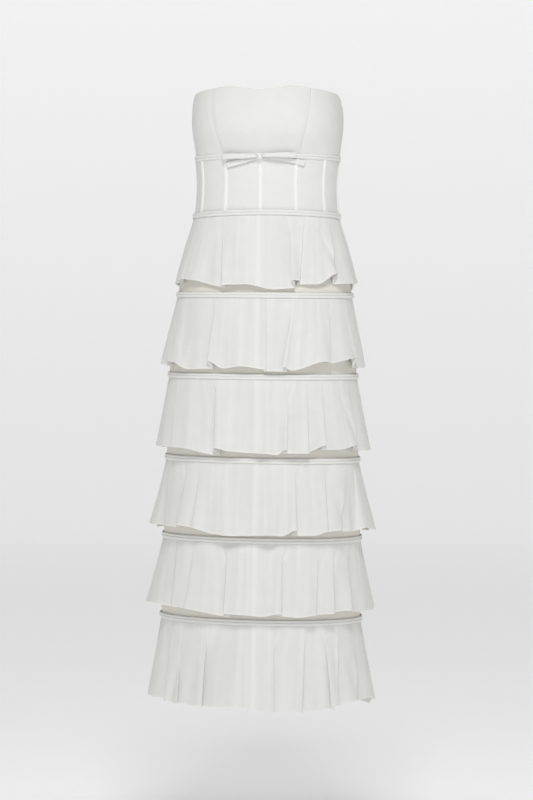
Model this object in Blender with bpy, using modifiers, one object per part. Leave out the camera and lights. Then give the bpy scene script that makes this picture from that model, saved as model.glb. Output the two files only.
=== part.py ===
"""Tiered ruffle gown: a strapless bodice, a boned midriff and a long skirt with six flounces.

The gown is filled out and hollow. Its front faces -Y and +Z is up, all in metres. The origin is
the centre of the ribbon band under the bust. An angle goes round the body from the centre front,
positive towards +X, and a height is measured along the body before the skirt's slight swing.
"""

import math
from collections import namedtuple

import bmesh
import bpy
from mathutils import Matrix, Vector

# Cloth and the spaces between pieces
WALL = 0.0012
FLOUNCE_WALL = 0.0010
RIBBON_WALL = 0.0010
BOW_WALL = 0.0008
SEAM = 0.0004
FLOUNCE_SEAM = 0.0007
LAYER = 0.0004

# Levels of the body
UNDERBUST_LEVEL = 0.0
WAIST_LEVEL = -0.104
SKIRT_HEM_LEVEL = -1.003

# Princess seams, as angles from the centre front
PRINCESS_FOOT = 30.5
PRINCESS_BULGE = 11.0
PRINCESS_RETURN = 1.0
SIDE_SEAM = 90.0
BACK_SEAM = 180.0

# Ribbon bands
BAND_WIDTH = 0.009
BAND_CLEARANCE = 0.0003
BAND_OVER_FLOUNCE = 2 * LAYER + FLOUNCE_WALL + BAND_CLEARANCE

# Boning channels on the midriff
CHANNEL_ANGLES = (0.0, 29.0, 57.0, 88.0, 118.0, 149.0)
CHANNEL_WIDTH = 0.0068

# Centre-back zip
ZIP_TOP = 0.0630
ZIP_FOOT = -0.215
ZIP_WIDTH = 0.008
ZIP_LIFT = 0.0006
SLIDER_LEVEL = 0.052
SLIDER_SIZE = (0.0062, 0.0016, 0.0090)
BAIL_WIDTH = 0.0014
BAIL_LEG = 0.0009
BAIL_SPAN = 0.0038
BAIL_RISE = 0.0027
BAIL_ROOT = 0.0004
PULL_THICKNESS = 0.0010
PULL_WIDTH = 0.0048
PULL_LENGTH = 0.0210
PULL_CORNER = 0.0016
PULL_EYE_WIDTH = 0.0024
PULL_EYE_LENGTH = 0.0029
PULL_PLAY = 0.0004

# Flounce form: the share of its length that lies under the band, and how its flare grows
UNDER_BAND = 0.045
FLARE_POWER = 1.1

# Mesh density: steps are in degrees, stations in shares of a piece's height
RING_STEP = 7.5
FLOUNCE_STEP = 5.8
LEAST_STEP = 1.0
BODICE_STATIONS = (0.0, 0.05, 0.17, 0.32, 0.48, 0.64, 0.82, 1.0)
FLOUNCE_STATIONS = (0.0, UNDER_BAND, 0.5, 1.0)
CENTRE_FRONT_COLUMNS = 10
SIDE_FRONT_COLUMNS = 7
BODICE_BACK_COLUMNS = 10
MIDRIFF_ROWS = 4
CHANNEL_ROWS = 4
HIP_ROWS = 6
ZIP_COLUMNS = 2
ZIP_ROWS = 14
SHARP_ANGLE = 40.0

# The body's sections: its reach each way, how square it is, how far it swings aside, how far it
# turns (degrees), how much lower the +X side is (degrees) and how far its sides dip.
Section = namedtuple("Section", "level half_width front back square shift turn tilt dip")
SECTIONS = (
    Section(0.131, 0.1340, 0.1080, 0.0950, 2.30, 0.0000, 0.0, 0.0, 0.0000),
    Section(0.102, 0.1395, 0.1175, 0.0975, 2.40, 0.0000, 0.0, 0.0, 0.0000),
    Section(0.072, 0.1415, 0.1220, 0.0995, 2.45, 0.0000, 0.0, 0.0, 0.0010),
    Section(0.044, 0.1400, 0.1185, 0.1000, 2.40, 0.0000, 0.0, 0.0, 0.0018),
    Section(0.018, 0.1365, 0.1070, 0.0990, 2.25, 0.0000, 0.0, 0.0, 0.0024),
    Section(0.000, 0.1350, 0.1000, 0.0975, 2.20, -0.0004, 0.0, 0.0, 0.0027),
    Section(-0.050, 0.1320, 0.0960, 0.0920, 2.15, -0.0014, 0.1, 0.0, 0.0042),
    Section(WAIST_LEVEL, 0.1360, 0.0975, 0.0950, 2.15, -0.0024, 0.4, 0.0, 0.0054),
    Section(-0.170, 0.1495, 0.1060, 0.1120, 2.10, -0.0042, 1.4, 0.2, 0.0020),
    Section(-0.2573, 0.1635, 0.1175, 0.1260, 2.10, -0.0060, 2.6, 0.4, 0.0000),
    Section(-0.4078, 0.1765, 0.1245, 0.1310, 2.10, -0.0096, 3.8, 0.5, 0.0000),
    Section(-0.5623, 0.1810, 0.1300, 0.1350, 2.10, -0.0104, 4.3, 0.8, 0.0000),
    Section(-0.7093, 0.1855, 0.1350, 0.1385, 2.10, -0.0117, 4.8, 0.9, 0.0000),
    Section(-0.8603, 0.1880, 0.1380, 0.1405, 2.10, -0.0136, 5.4, 0.9, 0.0000),
    Section(-1.0130, 0.1900, 0.1400, 0.1420, 2.10, -0.0136, 5.5, 1.0, 0.0000),
    Section(-1.0600, 0.1905, 0.1405, 0.1425, 2.10, -0.0136, 5.5, 1.0, 0.0000),
)

# The neckline's height, the same on both sides
NecklinePoint = namedtuple("NecklinePoint", "angle level")
NECKLINE = (
    NecklinePoint(0.0, 0.1229),
    NecklinePoint(12.0, 0.1255),
    NecklinePoint(25.0, 0.1295),
    NecklinePoint(45.0, 0.1242),
    NecklinePoint(65.0, 0.1187),
    NecklinePoint(82.0, 0.1117),
    NecklinePoint(98.0, 0.0880),
    NecklinePoint(120.0, 0.0770),
    NecklinePoint(150.0, 0.0700),
    NecklinePoint(180.0, 0.0670),
)

# The base skirt's storeys, each sewn to the next under a band: the tier at its top
Storey = namedtuple("Storey", "name top_tier")
STOREYS = (Storey("hip", 0), Storey("upper", 1), Storey("middle", 2), Storey("lower", 4))

# The flounces: the level of the band each hangs from, its length, and how far it stands off
Tier = namedtuple("Tier", "level length spread")
TIERS = (
    Tier(WAIST_LEVEL, 0.1405, 0.0090),
    Tier(-0.2573, 0.1360, 0.0135),
    Tier(-0.4078, 0.1385, 0.0170),
    Tier(-0.5623, 0.1365, 0.0220),
    Tier(-0.7093, 0.1355, 0.0215),
    Tier(-0.8603, 0.1640, 0.0205),
)

# The flounces' hems in front: each ridge and pocket, how far it stands out from the mean (pockets
# go in), how far it lifts the hem, and how many degrees aside it starts at the band. Two rows
# close together are the steep side of a fold.
HemPoint = namedtuple("HemPoint", "angle out lift lean")
FRONT_HEMS = (
    (
        HemPoint(-86, -0.0010, 0.0075, 0),
        HemPoint(-67, -0.0022, 0.0072, 5),
        HemPoint(-63.5, 0.0034, 0.0150, 5),
        HemPoint(-50, 0.0022, 0.0130, 2),
        HemPoint(-26.5, -0.0036, 0.0006, -5),
        HemPoint(-24, 0.0030, 0.0034, -5),
        HemPoint(-19, 0.0030, 0.0045, -2),
        HemPoint(-9, 0.0022, 0.0052, 0),
        HemPoint(9, -0.0034, -0.0028, 0),
        HemPoint(18.5, -0.0020, -0.0006, 3),
        HemPoint(20.5, 0.0044, 0.0135, 3),
        HemPoint(26, 0.0036, 0.0125, 8),
        HemPoint(28, -0.0024, 0.0065, 8),
        HemPoint(38, -0.0018, 0.0065, 6),
        HemPoint(55, 0.0052, 0.0260, 6),
        HemPoint(58, -0.0024, 0.0080, 6),
        HemPoint(74, 0.0046, 0.0075, 2),
        HemPoint(86, 0.0022, 0.0080, 0),
    ),
    (
        HemPoint(-86, 0.0040, 0.0030, 0),
        HemPoint(-69.5, -0.0040, 0.0025, -5),
        HemPoint(-66.5, 0.0042, 0.0110, -5),
        HemPoint(-60, 0.0030, 0.0092, -4),
        HemPoint(-46, -0.0052, -0.0034, -5),
        HemPoint(-33.5, -0.0048, -0.0018, 1.5),
        HemPoint(-31, 0.0060, 0.0126, 1.5),
        HemPoint(-21.5, -0.0040, -0.0006, 0),
        HemPoint(-10, 0.0034, 0.0034, 0),
        HemPoint(4, -0.0008, -0.0016, 0),
        HemPoint(6, -0.0052, -0.0050, 1),
        HemPoint(11.5, -0.0050, -0.0052, 8),
        HemPoint(13.5, 0.0036, 0.0034, 8),
        HemPoint(18.5, -0.0022, -0.0030, 6),
        HemPoint(39, 0.0050, 0.0128, 4),
        HemPoint(43.5, 0.0056, 0.0122, 4),
        HemPoint(46, -0.0026, 0.0098, 4),
        HemPoint(68, 0.0052, 0.0200, 0),
        HemPoint(71, -0.0036, 0.0010, 0),
        HemPoint(86, 0.0016, 0.0000, 0),
    ),
    (
        HemPoint(-86, 0.0030, 0.0020, 0),
        HemPoint(-59.5, -0.0042, 0.0036, -4),
        HemPoint(-56.5, 0.0042, 0.0034, -4),
        HemPoint(-48, 0.0024, 0.0030, -3),
        HemPoint(-28, -0.0066, -0.0092, -1),
        HemPoint(-25.5, 0.0066, 0.0050, -1),
        HemPoint(-16, 0.0026, -0.0006, 0),
        HemPoint(-6, -0.0040, -0.0027, 0),
        HemPoint(3, 0.0010, -0.0036, 0),
        HemPoint(9.5, -0.0052, -0.0056, 1),
        HemPoint(15.3, 0.0054, 0.0044, 1.5),
        HemPoint(17.3, -0.0032, -0.0026, 1.5),
        HemPoint(27.5, 0.0028, -0.0026, 1),
        HemPoint(30, -0.0012, -0.0008, 1),
        HemPoint(38.3, 0.0062, 0.0125, 0),
        HemPoint(40.5, -0.0036, 0.0040, 0),
        HemPoint(48, -0.0026, 0.0042, -1),
        HemPoint(65.5, 0.0050, 0.0128, -3),
        HemPoint(68.5, -0.0030, 0.0004, -3),
        HemPoint(86, 0.0050, -0.0006, 0),
    ),
    (
        HemPoint(-86, 0.0040, 0.0066, 0),
        HemPoint(-62, -0.0046, 0.0074, -5),
        HemPoint(-50.5, -0.0040, 0.0070, 1),
        HemPoint(-48, 0.0040, 0.0114, 1),
        HemPoint(-40, -0.0010, 0.0082, 1),
        HemPoint(-37.5, 0.0034, 0.0076, 1),
        HemPoint(-26, -0.0056, -0.0014, 0),
        HemPoint(-16, 0.0020, -0.0042, -2),
        HemPoint(-5, -0.0050, -0.0029, 0),
        HemPoint(6, 0.0036, -0.0012, 0),
        HemPoint(11.5, -0.0048, -0.0028, 0),
        HemPoint(20.3, 0.0068, 0.0090, 0),
        HemPoint(22.3, -0.0046, -0.0016, 0),
        HemPoint(29.5, -0.0030, -0.0014, 0),
        HemPoint(38, 0.0044, 0.0056, 1.5),
        HemPoint(40.5, -0.0020, 0.0044, 2),
        HemPoint(46.3, 0.0056, 0.0086, 12),
        HemPoint(49, -0.0050, 0.0052, 12),
        HemPoint(61, -0.0040, 0.0048, 8),
        HemPoint(67, 0.0050, 0.0095, 4),
        HemPoint(86, 0.0070, 0.0030, 0),
    ),
    (
        HemPoint(-86, 0.0076, 0.0060, 0),
        HemPoint(-65, 0.0030, 0.0080, -3),
        HemPoint(-54.5, -0.0052, 0.0027, -3.5),
        HemPoint(-51, 0.0040, 0.0056, -3.5),
        HemPoint(-44, -0.0014, 0.0042, 1.5),
        HemPoint(-41.5, 0.0030, 0.0041, 1.5),
        HemPoint(-21.5, -0.0066, -0.0067, 0),
        HemPoint(-18.5, 0.0052, -0.0013, 0),
        HemPoint(-8, 0.0010, -0.0024, 0),
        HemPoint(1, -0.0046, -0.0050, 0),
        HemPoint(11.6, 0.0060, 0.0014, 1),
        HemPoint(14.4, -0.0034, -0.0028, 1),
        HemPoint(21, -0.0044, -0.0060, 2),
        HemPoint(30.5, 0.0044, -0.0018, 4),
        HemPoint(33, -0.0036, -0.0008, 4),
        HemPoint(41, 0.0030, 0.0005, 4),
        HemPoint(45.5, -0.0020, 0.0030, 4),
        HemPoint(53.5, 0.0060, 0.0050, 4.5),
        HemPoint(56, -0.0020, 0.0032, 4.5),
        HemPoint(66, -0.0046, -0.0004, 3),
        HemPoint(86, 0.0012, -0.0010, 0),
    ),
    (
        HemPoint(-86, 0.0030, 0.0115, 0),
        HemPoint(-70, 0.0036, 0.0122, -2),
        HemPoint(-59.5, -0.0044, 0.0096, -3),
        HemPoint(-56.5, 0.0040, 0.0080, -3),
        HemPoint(-46.5, 0.0034, 0.0066, -3.5),
        HemPoint(-44, -0.0030, 0.0058, -3.5),
        HemPoint(-31, 0.0048, 0.0060, 0),
        HemPoint(-28.5, -0.0052, 0.0042, 0),
        HemPoint(-14, 0.0056, 0.0080, 0),
        HemPoint(-1, -0.0020, 0.0006, 0),
        HemPoint(7.5, 0.0020, -0.0009, 0),
        HemPoint(11, -0.0030, -0.0006, 1),
        HemPoint(22, 0.0040, 0.0002, 4),
        HemPoint(24.5, -0.0044, -0.0006, 4),
        HemPoint(36.5, -0.0042, 0.0034, 0),
        HemPoint(39, 0.0040, 0.0060, 0),
        HemPoint(44, 0.0050, 0.0110, 5),
        HemPoint(46.5, -0.0044, 0.0120, 5),
        HemPoint(58.5, 0.0052, 0.0172, 10),
        HemPoint(61, -0.0044, 0.0150, 10),
        HemPoint(72, 0.0050, 0.0175, 5),
        HemPoint(86, 0.0040, 0.0106, 0),
    ),
)

# Hidden flutes of each flounce's back: how many, how deep and how far a ridge lifts the hem
BackFlutes = namedtuple("BackFlutes", "count depth lift")
BACK_FLUTES = (
    BackFlutes(5, 0.0038, 0.0130),
    BackFlutes(5, 0.0050, 0.0130),
    BackFlutes(6, 0.0058, 0.0110),
    BackFlutes(6, 0.0062, 0.0100),
    BackFlutes(7, 0.0060, 0.0080),
    BackFlutes(7, 0.0056, 0.0110),
)
# The degrees between a flute's pocket and its ridge, and how far and how unevenly flutes wander
STEEP_SIDE = 3.0
FLUTE_DRIFT = 0.15
DRIFT_WAVE = 2.4
FLUTE_VARIETY = 0.25
VARIETY_WAVE = 1.7
POCKET_LIFT = -0.0020

# The bow's ribbons: lower and upper edge, distance off the body, and the lower edge's extra reach
RibbonStation = namedtuple("RibbonStation", "angle low high off flare")
BOW_RIBBONS = {
    "bow_loop_left": (
        RibbonStation(-2.3, -0.0030, 0.0040, 0.0042, 0.0),
        RibbonStation(-11.0, -0.0052, 0.0050, 0.0050, 0.0),
        RibbonStation(-20.5, -0.0052, 0.0066, 0.0044, 0.0),
        RibbonStation(-28.4, -0.0048, 0.0072, 0.0044, 0.0),
        RibbonStation(-30.1, -0.0044, 0.0074, 0.0062, 0.0),
        RibbonStation(-28.2, -0.0042, 0.0076, 0.0082, 0.0),
        RibbonStation(-19.0, -0.0034, 0.0076, 0.0094, 0.0),
        RibbonStation(-10.0, -0.0024, 0.0058, 0.0088, 0.0),
        RibbonStation(-2.3, -0.0020, 0.0040, 0.0070, 0.0),
    ),
    "bow_loop_right": (
        RibbonStation(2.3, -0.0030, 0.0036, 0.0042, 0.0),
        RibbonStation(10.0, -0.0030, 0.0056, 0.0050, 0.0),
        RibbonStation(18.5, -0.0032, 0.0076, 0.0046, 0.0),
        RibbonStation(26.2, -0.0034, 0.0080, 0.0048, 0.0),
        RibbonStation(28.2, -0.0026, 0.0084, 0.0066, 0.0),
        RibbonStation(26.0, -0.0014, 0.0092, 0.0088, 0.0010),
        RibbonStation(18.0, 0.0004, 0.0102, 0.0108, 0.0014),
        RibbonStation(10.0, -0.0002, 0.0084, 0.0098, 0.0010),
        RibbonStation(2.3, -0.0014, 0.0042, 0.0070, 0.0),
    ),
    "bow_tail_left": (
        RibbonStation(-2.3, -0.0062, -0.0036, 0.0036, 0.0),
        RibbonStation(-9.0, -0.0102, -0.0058, 0.0032, 0.0),
        RibbonStation(-17.0, -0.0152, -0.0068, 0.0032, 0.0),
        RibbonStation(-23.0, -0.0184, -0.0090, 0.0030, 0.0),
        RibbonStation(-27.5, -0.0206, -0.0116, 0.0030, 0.0),
    ),
    "bow_tail_right": (
        RibbonStation(2.3, -0.0058, -0.0036, 0.0036, 0.0),
        RibbonStation(10.0, -0.0070, -0.0038, 0.0032, 0.0),
        RibbonStation(19.0, -0.0094, -0.0042, 0.0032, 0.0),
        RibbonStation(28.0, -0.0132, -0.0052, 0.0032, 0.0),
        RibbonStation(35.5, -0.0172, -0.0078, 0.0030, 0.0),
    ),
}
BOW_TAIL_CUT = 1.6
KNOT_SIZE = (0.0095, 0.0085, 0.0105)
KNOT_OFF = 0.0066
KNOT_ROUNDING = 0.0016

# Colours are linear RGBA
Finish = namedtuple("Finish", "colour roughness metallic")
FINISHES = {
    "crepe": Finish((0.80, 0.80, 0.77, 1.0), 0.75, 0.0),
    "chiffon": Finish((0.86, 0.86, 0.83, 1.0), 0.80, 0.0),
    "ribbon": Finish((0.88, 0.88, 0.86, 1.0), 0.45, 0.0),
    "zip_tape": Finish((0.82, 0.82, 0.79, 1.0), 0.60, 0.0),
    "zip_metal": Finish((0.78, 0.78, 0.76, 1.0), 0.30, 1.0),
}


def clear_scene():
    """Remove whatever the scene holds."""
    for thing in list(bpy.data.objects):
        bpy.data.objects.remove(thing, do_unlink=True)


def smooth_value(places, values, place):
    """A value at a place, on a smooth curve through the values at rising places."""
    place = min(max(place, places[0]), places[-1])
    last = len(places) - 2
    index = min(last, max(i for i in range(len(places) - 1) if places[i] <= place))
    span = places[index + 1] - places[index]
    part = (place - places[index]) / span

    def slope(i):
        before = max(i - 1, 0)
        after = min(i + 1, len(places) - 1)
        return (values[after] - values[before]) / (places[after] - places[before])

    start, end = values[index], values[index + 1]
    lead, trail = slope(index) * span, slope(index + 1) * span
    cube, square = part ** 3, part ** 2
    return (
        (2 * cube - 3 * square + 1) * start
        + (cube - 2 * square + part) * lead
        + (3 * square - 2 * cube) * end
        + (cube - square) * trail
    )


def section(level):
    """The body's section at a level."""
    levels, *columns = zip(*sorted(SECTIONS))
    return Section(level, *(smooth_value(levels, column, level) for column in columns))


def body_point(angle, level):
    """A point on the body's outer face."""
    cut = section(level)
    turned = math.radians(angle + cut.turn)
    side, ahead = math.sin(turned), math.cos(turned)
    swell = (abs(side) ** cut.square + abs(ahead) ** cut.square) ** (-1 / cut.square)
    depth = cut.front if ahead > 0 else cut.back
    x = cut.half_width * side * swell
    z = level - math.tan(math.radians(cut.tilt)) * x - cut.dip * side ** 2
    return Vector((x + cut.shift, -depth * ahead * swell, z))


def off_body(angle, level, distance):
    """A point at a distance out from the body's outer face."""
    nudge_angle, nudge_level = 0.5, 0.001
    across = body_point(angle + nudge_angle, level) - body_point(angle - nudge_angle, level)
    up = body_point(angle, level + nudge_level) - body_point(angle, level - nudge_level)
    return body_point(angle, level) + distance * across.cross(up).normalized()


def neckline(angle):
    """The neckline's level at an angle."""
    angles, levels = zip(*NECKLINE)
    return smooth_value(angles, levels, abs(angle))


def seam_angle(gap, level):
    """Half a seam's gap as an angle."""
    return math.degrees(gap / 2 / section(level).front)


def princess_angle(part):
    """The princess seam's angle, from the band (0) to the neckline (1)."""
    return PRINCESS_FOOT + PRINCESS_BULGE * part - PRINCESS_RETURN * part ** 2


def between(start, end, part):
    """A value between two others."""
    return start + (end - start) * part


def along(stops, part):
    """A value on the straight runs between stops, each run an equal share of 0 to 1."""
    place = part * (len(stops) - 1)
    index = min(int(place + 1e-9), len(stops) - 2)
    return between(stops[index], stops[index + 1], place - index)


def block(size, centre=(0.0, 0.0, 0.0)):
    """A box-shaped bmesh."""
    shape = bmesh.new()
    scale = Matrix.Diagonal((*size, 1.0))
    bmesh.ops.create_cube(shape, size=1.0, matrix=Matrix.Translation(centre) @ scale)
    return shape


def round_edges(shape, edges, radius, segments):
    """Round some of a bmesh's edges."""
    bmesh.ops.bevel(
        shape,
        geom=edges,
        offset=radius,
        affect="EDGES",
        segments=segments,
        profile=0.5,
        material=-1,
    )


def combine(thing, operation, other):
    """Join another shape to an object or cut it out."""
    step = thing.modifiers.new(other.name, "BOOLEAN")
    step.operation = operation
    step.object = other


def make_material(name):
    """A material from its finish."""
    finish = FINISHES[name]
    material = bpy.data.materials.new(name)
    material.use_nodes = True
    shader = material.node_tree.nodes["Principled BSDF"]
    shader.inputs["Base Color"].default_value = finish.colour
    shader.inputs["Roughness"].default_value = finish.roughness
    shader.inputs["Metallic"].default_value = finish.metallic
    material.diffuse_color = finish.colour
    return material


class Gown:
    """The collection that holds the gown's objects, with its materials."""

    def __init__(self, name):
        self.collection = bpy.data.collections.new(name)
        self.tools = bpy.data.collections.new(name + "_cutters")
        bpy.context.scene.collection.children.link(self.collection)
        bpy.context.scene.collection.children.link(self.tools)
        self.materials = {finish: make_material(finish) for finish in FINISHES}

    def add(self, name, mesh_data, finish):
        """Turn a bmesh into a named, smooth object of the gown."""
        mesh = bpy.data.meshes.new(name)
        mesh_data.to_mesh(mesh)
        mesh_data.free()
        mesh.materials.append(self.materials[finish])
        mesh.shade_smooth()
        mesh.set_sharp_from_angle(angle=math.radians(SHARP_ANGLE))
        thing = bpy.data.objects.new(name, mesh)
        self.collection.objects.link(thing)
        return thing

    def cutter(self, name, mesh_data):
        """Turn a bmesh into a shape that joins or cuts a piece and isn't one itself."""
        mesh = bpy.data.meshes.new(name)
        mesh_data.to_mesh(mesh)
        mesh_data.free()
        thing = bpy.data.objects.new(name, mesh)
        thing.hide_render = True
        thing.display_type = "WIRE"
        self.tools.objects.link(thing)
        return thing

    def sheet(self, name, place, columns, rows, wall, outward, finish, closed=False):
        """A cloth wall: a grid laid on a surface and given thickness.

        place(across, up) gives the point for two values from 0 to 1.
        """
        cloth = bmesh.new()
        bmesh.ops.create_grid(cloth, x_segments=columns, y_segments=rows, size=0.5)
        for vert in cloth.verts:
            vert.co = place(vert.co.x + 0.5, vert.co.y + 0.5)
        if closed:
            bmesh.ops.remove_doubles(cloth, verts=cloth.verts[:], dist=0.00001)
        thing = self.add(name, cloth, finish)
        solid = thing.modifiers.new("Wall", "SOLIDIFY")
        solid.thickness = wall
        solid.offset = 1.0 if outward else -1.0
        solid.use_even_offset = True
        return thing


def build_bodice(gown):
    """The bust: a centre-front panel, two side-front panels and two back panels."""
    foot = UNDERBUST_LEVEL + SEAM / 2
    gap = seam_angle(SEAM, UNDERBUST_LEVEL)

    def panel(name, left, right, columns):
        def place(across, up):
            part = along(BODICE_STATIONS, up)
            angle = between(left(part), right(part), across)
            return body_point(angle, between(foot, neckline(angle), part))

        rows = len(BODICE_STATIONS) - 1
        gown.sheet(name, place, columns, rows, WALL, False, "crepe")

    panel(
        "bodice_centre_front",
        lambda up: -princess_angle(up) + gap,
        lambda up: princess_angle(up) - gap,
        CENTRE_FRONT_COLUMNS,
    )
    panel(
        "bodice_side_left",
        lambda up: princess_angle(up) + gap,
        lambda up: SIDE_SEAM - gap,
        SIDE_FRONT_COLUMNS,
    )
    panel(
        "bodice_side_right",
        lambda up: -SIDE_SEAM + gap,
        lambda up: -princess_angle(up) - gap,
        SIDE_FRONT_COLUMNS,
    )
    panel(
        "bodice_back_left",
        lambda up: SIDE_SEAM + gap,
        lambda up: BACK_SEAM - gap,
        BODICE_BACK_COLUMNS,
    )
    panel(
        "bodice_back_right",
        lambda up: -BACK_SEAM + gap,
        lambda up: -SIDE_SEAM - gap,
        BODICE_BACK_COLUMNS,
    )


def body_panel(gown, name, left, right, levels, rows, finish):
    """A panel of the body between two angles, with rows shared out between its levels."""
    columns = round((right - left) / RING_STEP)

    def place(across, up):
        return body_point(between(left, right, across), along(levels, up))

    gown.sheet(name, place, columns, rows, WALL, False, finish)


def build_midriff(gown):
    """The corset-like midriff between the two upper bands."""
    levels = (WAIST_LEVEL + SEAM / 2, UNDERBUST_LEVEL - SEAM / 2)
    gap = seam_angle(SEAM, WAIST_LEVEL)
    pieces = (
        ("midriff_front", -SIDE_SEAM + gap, SIDE_SEAM - gap),
        ("midriff_back_left", SIDE_SEAM + gap, BACK_SEAM - gap),
        ("midriff_back_right", -BACK_SEAM + gap, -SIDE_SEAM - gap),
    )
    for name, left, right in pieces:
        body_panel(gown, name, left, right, levels, MIDRIFF_ROWS, "crepe")


def storey_levels(storey, foot):
    """The levels of a skirt storey's rows from its foot up, closer where the hip curves out."""
    top = TIERS[storey.top_tier].level - SEAM / 2
    if storey is STOREYS[0]:
        return [between(foot, top, row / HIP_ROWS) for row in range(HIP_ROWS + 1)]
    return [foot] + [tier.level for tier in TIERS if foot + SEAM < tier.level < top - SEAM] + [top]


def build_skirt(gown):
    """The base skirt, which carries the flounces, in four storeys of a front and a back."""
    feet = [TIERS[storey.top_tier].level + SEAM / 2 for storey in STOREYS[1:]]
    for storey, foot in zip(STOREYS, feet + [SKIRT_HEM_LEVEL]):
        levels = storey_levels(storey, foot)
        gap = seam_angle(SEAM, foot)
        for side, left in (("front", -SIDE_SEAM), ("back", SIDE_SEAM)):
            name = "skirt_{}_{}".format(storey.name, side)
            rows = len(levels) - 1
            body_panel(gown, name, left + gap, left + 180 - gap, levels, rows, "crepe")


def build_channels(gown):
    """The raised boning channels, which run from band to band."""
    foot = WAIST_LEVEL + BAND_WIDTH / 2 + SEAM
    top = UNDERBUST_LEVEL - BAND_WIDTH / 2 - SEAM
    waist = section(WAIST_LEVEL)
    angles = sorted({side * angle for angle in CHANNEL_ANGLES for side in (-1, 1)})
    for number, angle in enumerate(angles, start=1):
        reach = between(waist.half_width, waist.front, math.sin(math.radians(angle)) ** 2)
        half = math.degrees(CHANNEL_WIDTH / 2 / reach)

        def place(across, up, angle=angle, half=half):
            turn = angle + half * (2 * across - 1)
            return off_body(turn, between(foot, top, up), LAYER)

        name = "boning_channel_{}".format(number)
        gown.sheet(name, place, 1, CHANNEL_ROWS, RIBBON_WALL, True, "crepe")


def build_bands(gown):
    """The ribbon bands. The two that the zip crosses stop beside it."""
    levels = [("band_underbust", UNDERBUST_LEVEL, LAYER)]
    levels.append(("band_waist", WAIST_LEVEL, BAND_OVER_FLOUNCE))
    for number, tier in enumerate(TIERS[1:], start=2):
        levels.append(("band_tier_{}".format(number), tier.level, BAND_OVER_FLOUNCE))
    for name, level, distance in levels:
        opened = level >= WAIST_LEVEL
        slot = math.degrees((ZIP_WIDTH / 2 + LAYER) / section(level).back) if opened else 0.0

        def place(across, up, level=level, distance=distance, slot=slot):
            angle = between(-BACK_SEAM + slot, BACK_SEAM - slot, across)
            height = level + BAND_WIDTH * (up - 0.5)
            return off_body(angle, height, distance)

        columns = round(360 / RING_STEP)
        gown.sheet(name, place, columns, 1, RIBBON_WALL, True, "ribbon", closed=not opened)


def hem_points(number):
    """A flounce's ridges and pockets all round, the hidden ones unevenly spaced by a loop."""
    hidden = BACK_FLUTES[number]
    points = list(FRONT_HEMS[number])
    pitch = (360 - 2 * SIDE_SEAM) / hidden.count
    for index in range(hidden.count):
        drift = FLUTE_DRIFT * math.sin(DRIFT_WAVE * index + number)
        size = 1 + FLUTE_VARIETY * math.cos(VARIETY_WAVE * index + number)
        middle = SIDE_SEAM + (index + 0.5 + drift) * pitch
        side = STEEP_SIDE / 2 if index % 2 else -STEEP_SIDE / 2
        pocket = HemPoint(middle - side, -hidden.depth * size, POCKET_LIFT, 0.0)
        ridge = HemPoint(middle + side, hidden.depth * size, hidden.lift * size, 0.0)
        points += sorted((pocket, ridge))
    return points


def hem_at(points, angle):
    """A flounce's hem at an angle, eased from each ridge or pocket to the next."""
    angle = (angle - points[0].angle) % 360 + points[0].angle
    index = max(i for i, point in enumerate(points) if point.angle <= angle)
    before, after = points[index], points[(index + 1) % len(points)]
    span = (after.angle - before.angle) % 360
    ease = (1 - math.cos(math.pi * (angle - before.angle) / span)) / 2
    out, lift, lean = (between(a, b, ease) for a, b in zip(before[1:], after[1:]))
    return HemPoint(angle, out, lift, lean)


def hem_stops(points, left, right):
    """The angles of a flounce's columns: at each ridge and pocket, and evenly between them."""
    stops = []
    for before, after in zip(points, points[1:] + points[:1]):
        span = (after.angle - before.angle) % 360
        count = math.ceil(max(span, span + after.lean - before.lean) / FLOUNCE_STEP)
        stops += [before.angle + span * index / count for index in range(count)]
    inside = sorted(stop for stop in stops if left + LEAST_STEP < stop < right - LEAST_STEP)
    return [left] + inside + [right]


def flounce_point(number, points, angle, part):
    """A point on a flounce's inner face, from its top under the band (0) to its hem (1)."""
    tier = TIERS[number]
    hem = hem_at(points, angle)
    free = max(0.0, (part - UNDER_BAND) / (1 - UNDER_BAND))
    lift = hem.lift + tier.spread ** 2 / (2 * tier.length)
    level = tier.level - tier.length * part + lift * free
    reach = LAYER + (tier.spread + hem.out) * free ** FLARE_POWER
    return off_body(angle + hem.lean * (1 - free), level, reach)


def build_flounces(gown):
    """Six flared flounces, each in a front and a back joined at the side seams."""
    for number, tier in enumerate(TIERS):
        points = hem_points(number)
        gap = seam_angle(FLOUNCE_SEAM, tier.level)
        pieces = [("front", -SIDE_SEAM + gap, SIDE_SEAM - gap)]
        if number == 0:
            slot = math.degrees((ZIP_WIDTH / 2 + LAYER) / section(tier.level).back)
            pieces.append(("back_left", SIDE_SEAM + gap, BACK_SEAM - slot))
            pieces.append(("back_right", BACK_SEAM + slot, 360 - SIDE_SEAM - gap))
        else:
            pieces.append(("back", SIDE_SEAM + gap, 360 - SIDE_SEAM - gap))
        for label, left, right in pieces:
            stops = hem_stops(points, left, right)

            def place(across, up, stops=stops):
                angle = along(stops, across)
                return flounce_point(number, points, angle, along(FLOUNCE_STATIONS, 1 - up))

            name = "flounce_{}_{}".format(number + 1, label)
            rows = len(FLOUNCE_STATIONS) - 1
            gown.sheet(name, place, len(stops) - 1, rows, FLOUNCE_WALL, True, "chiffon")


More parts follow.
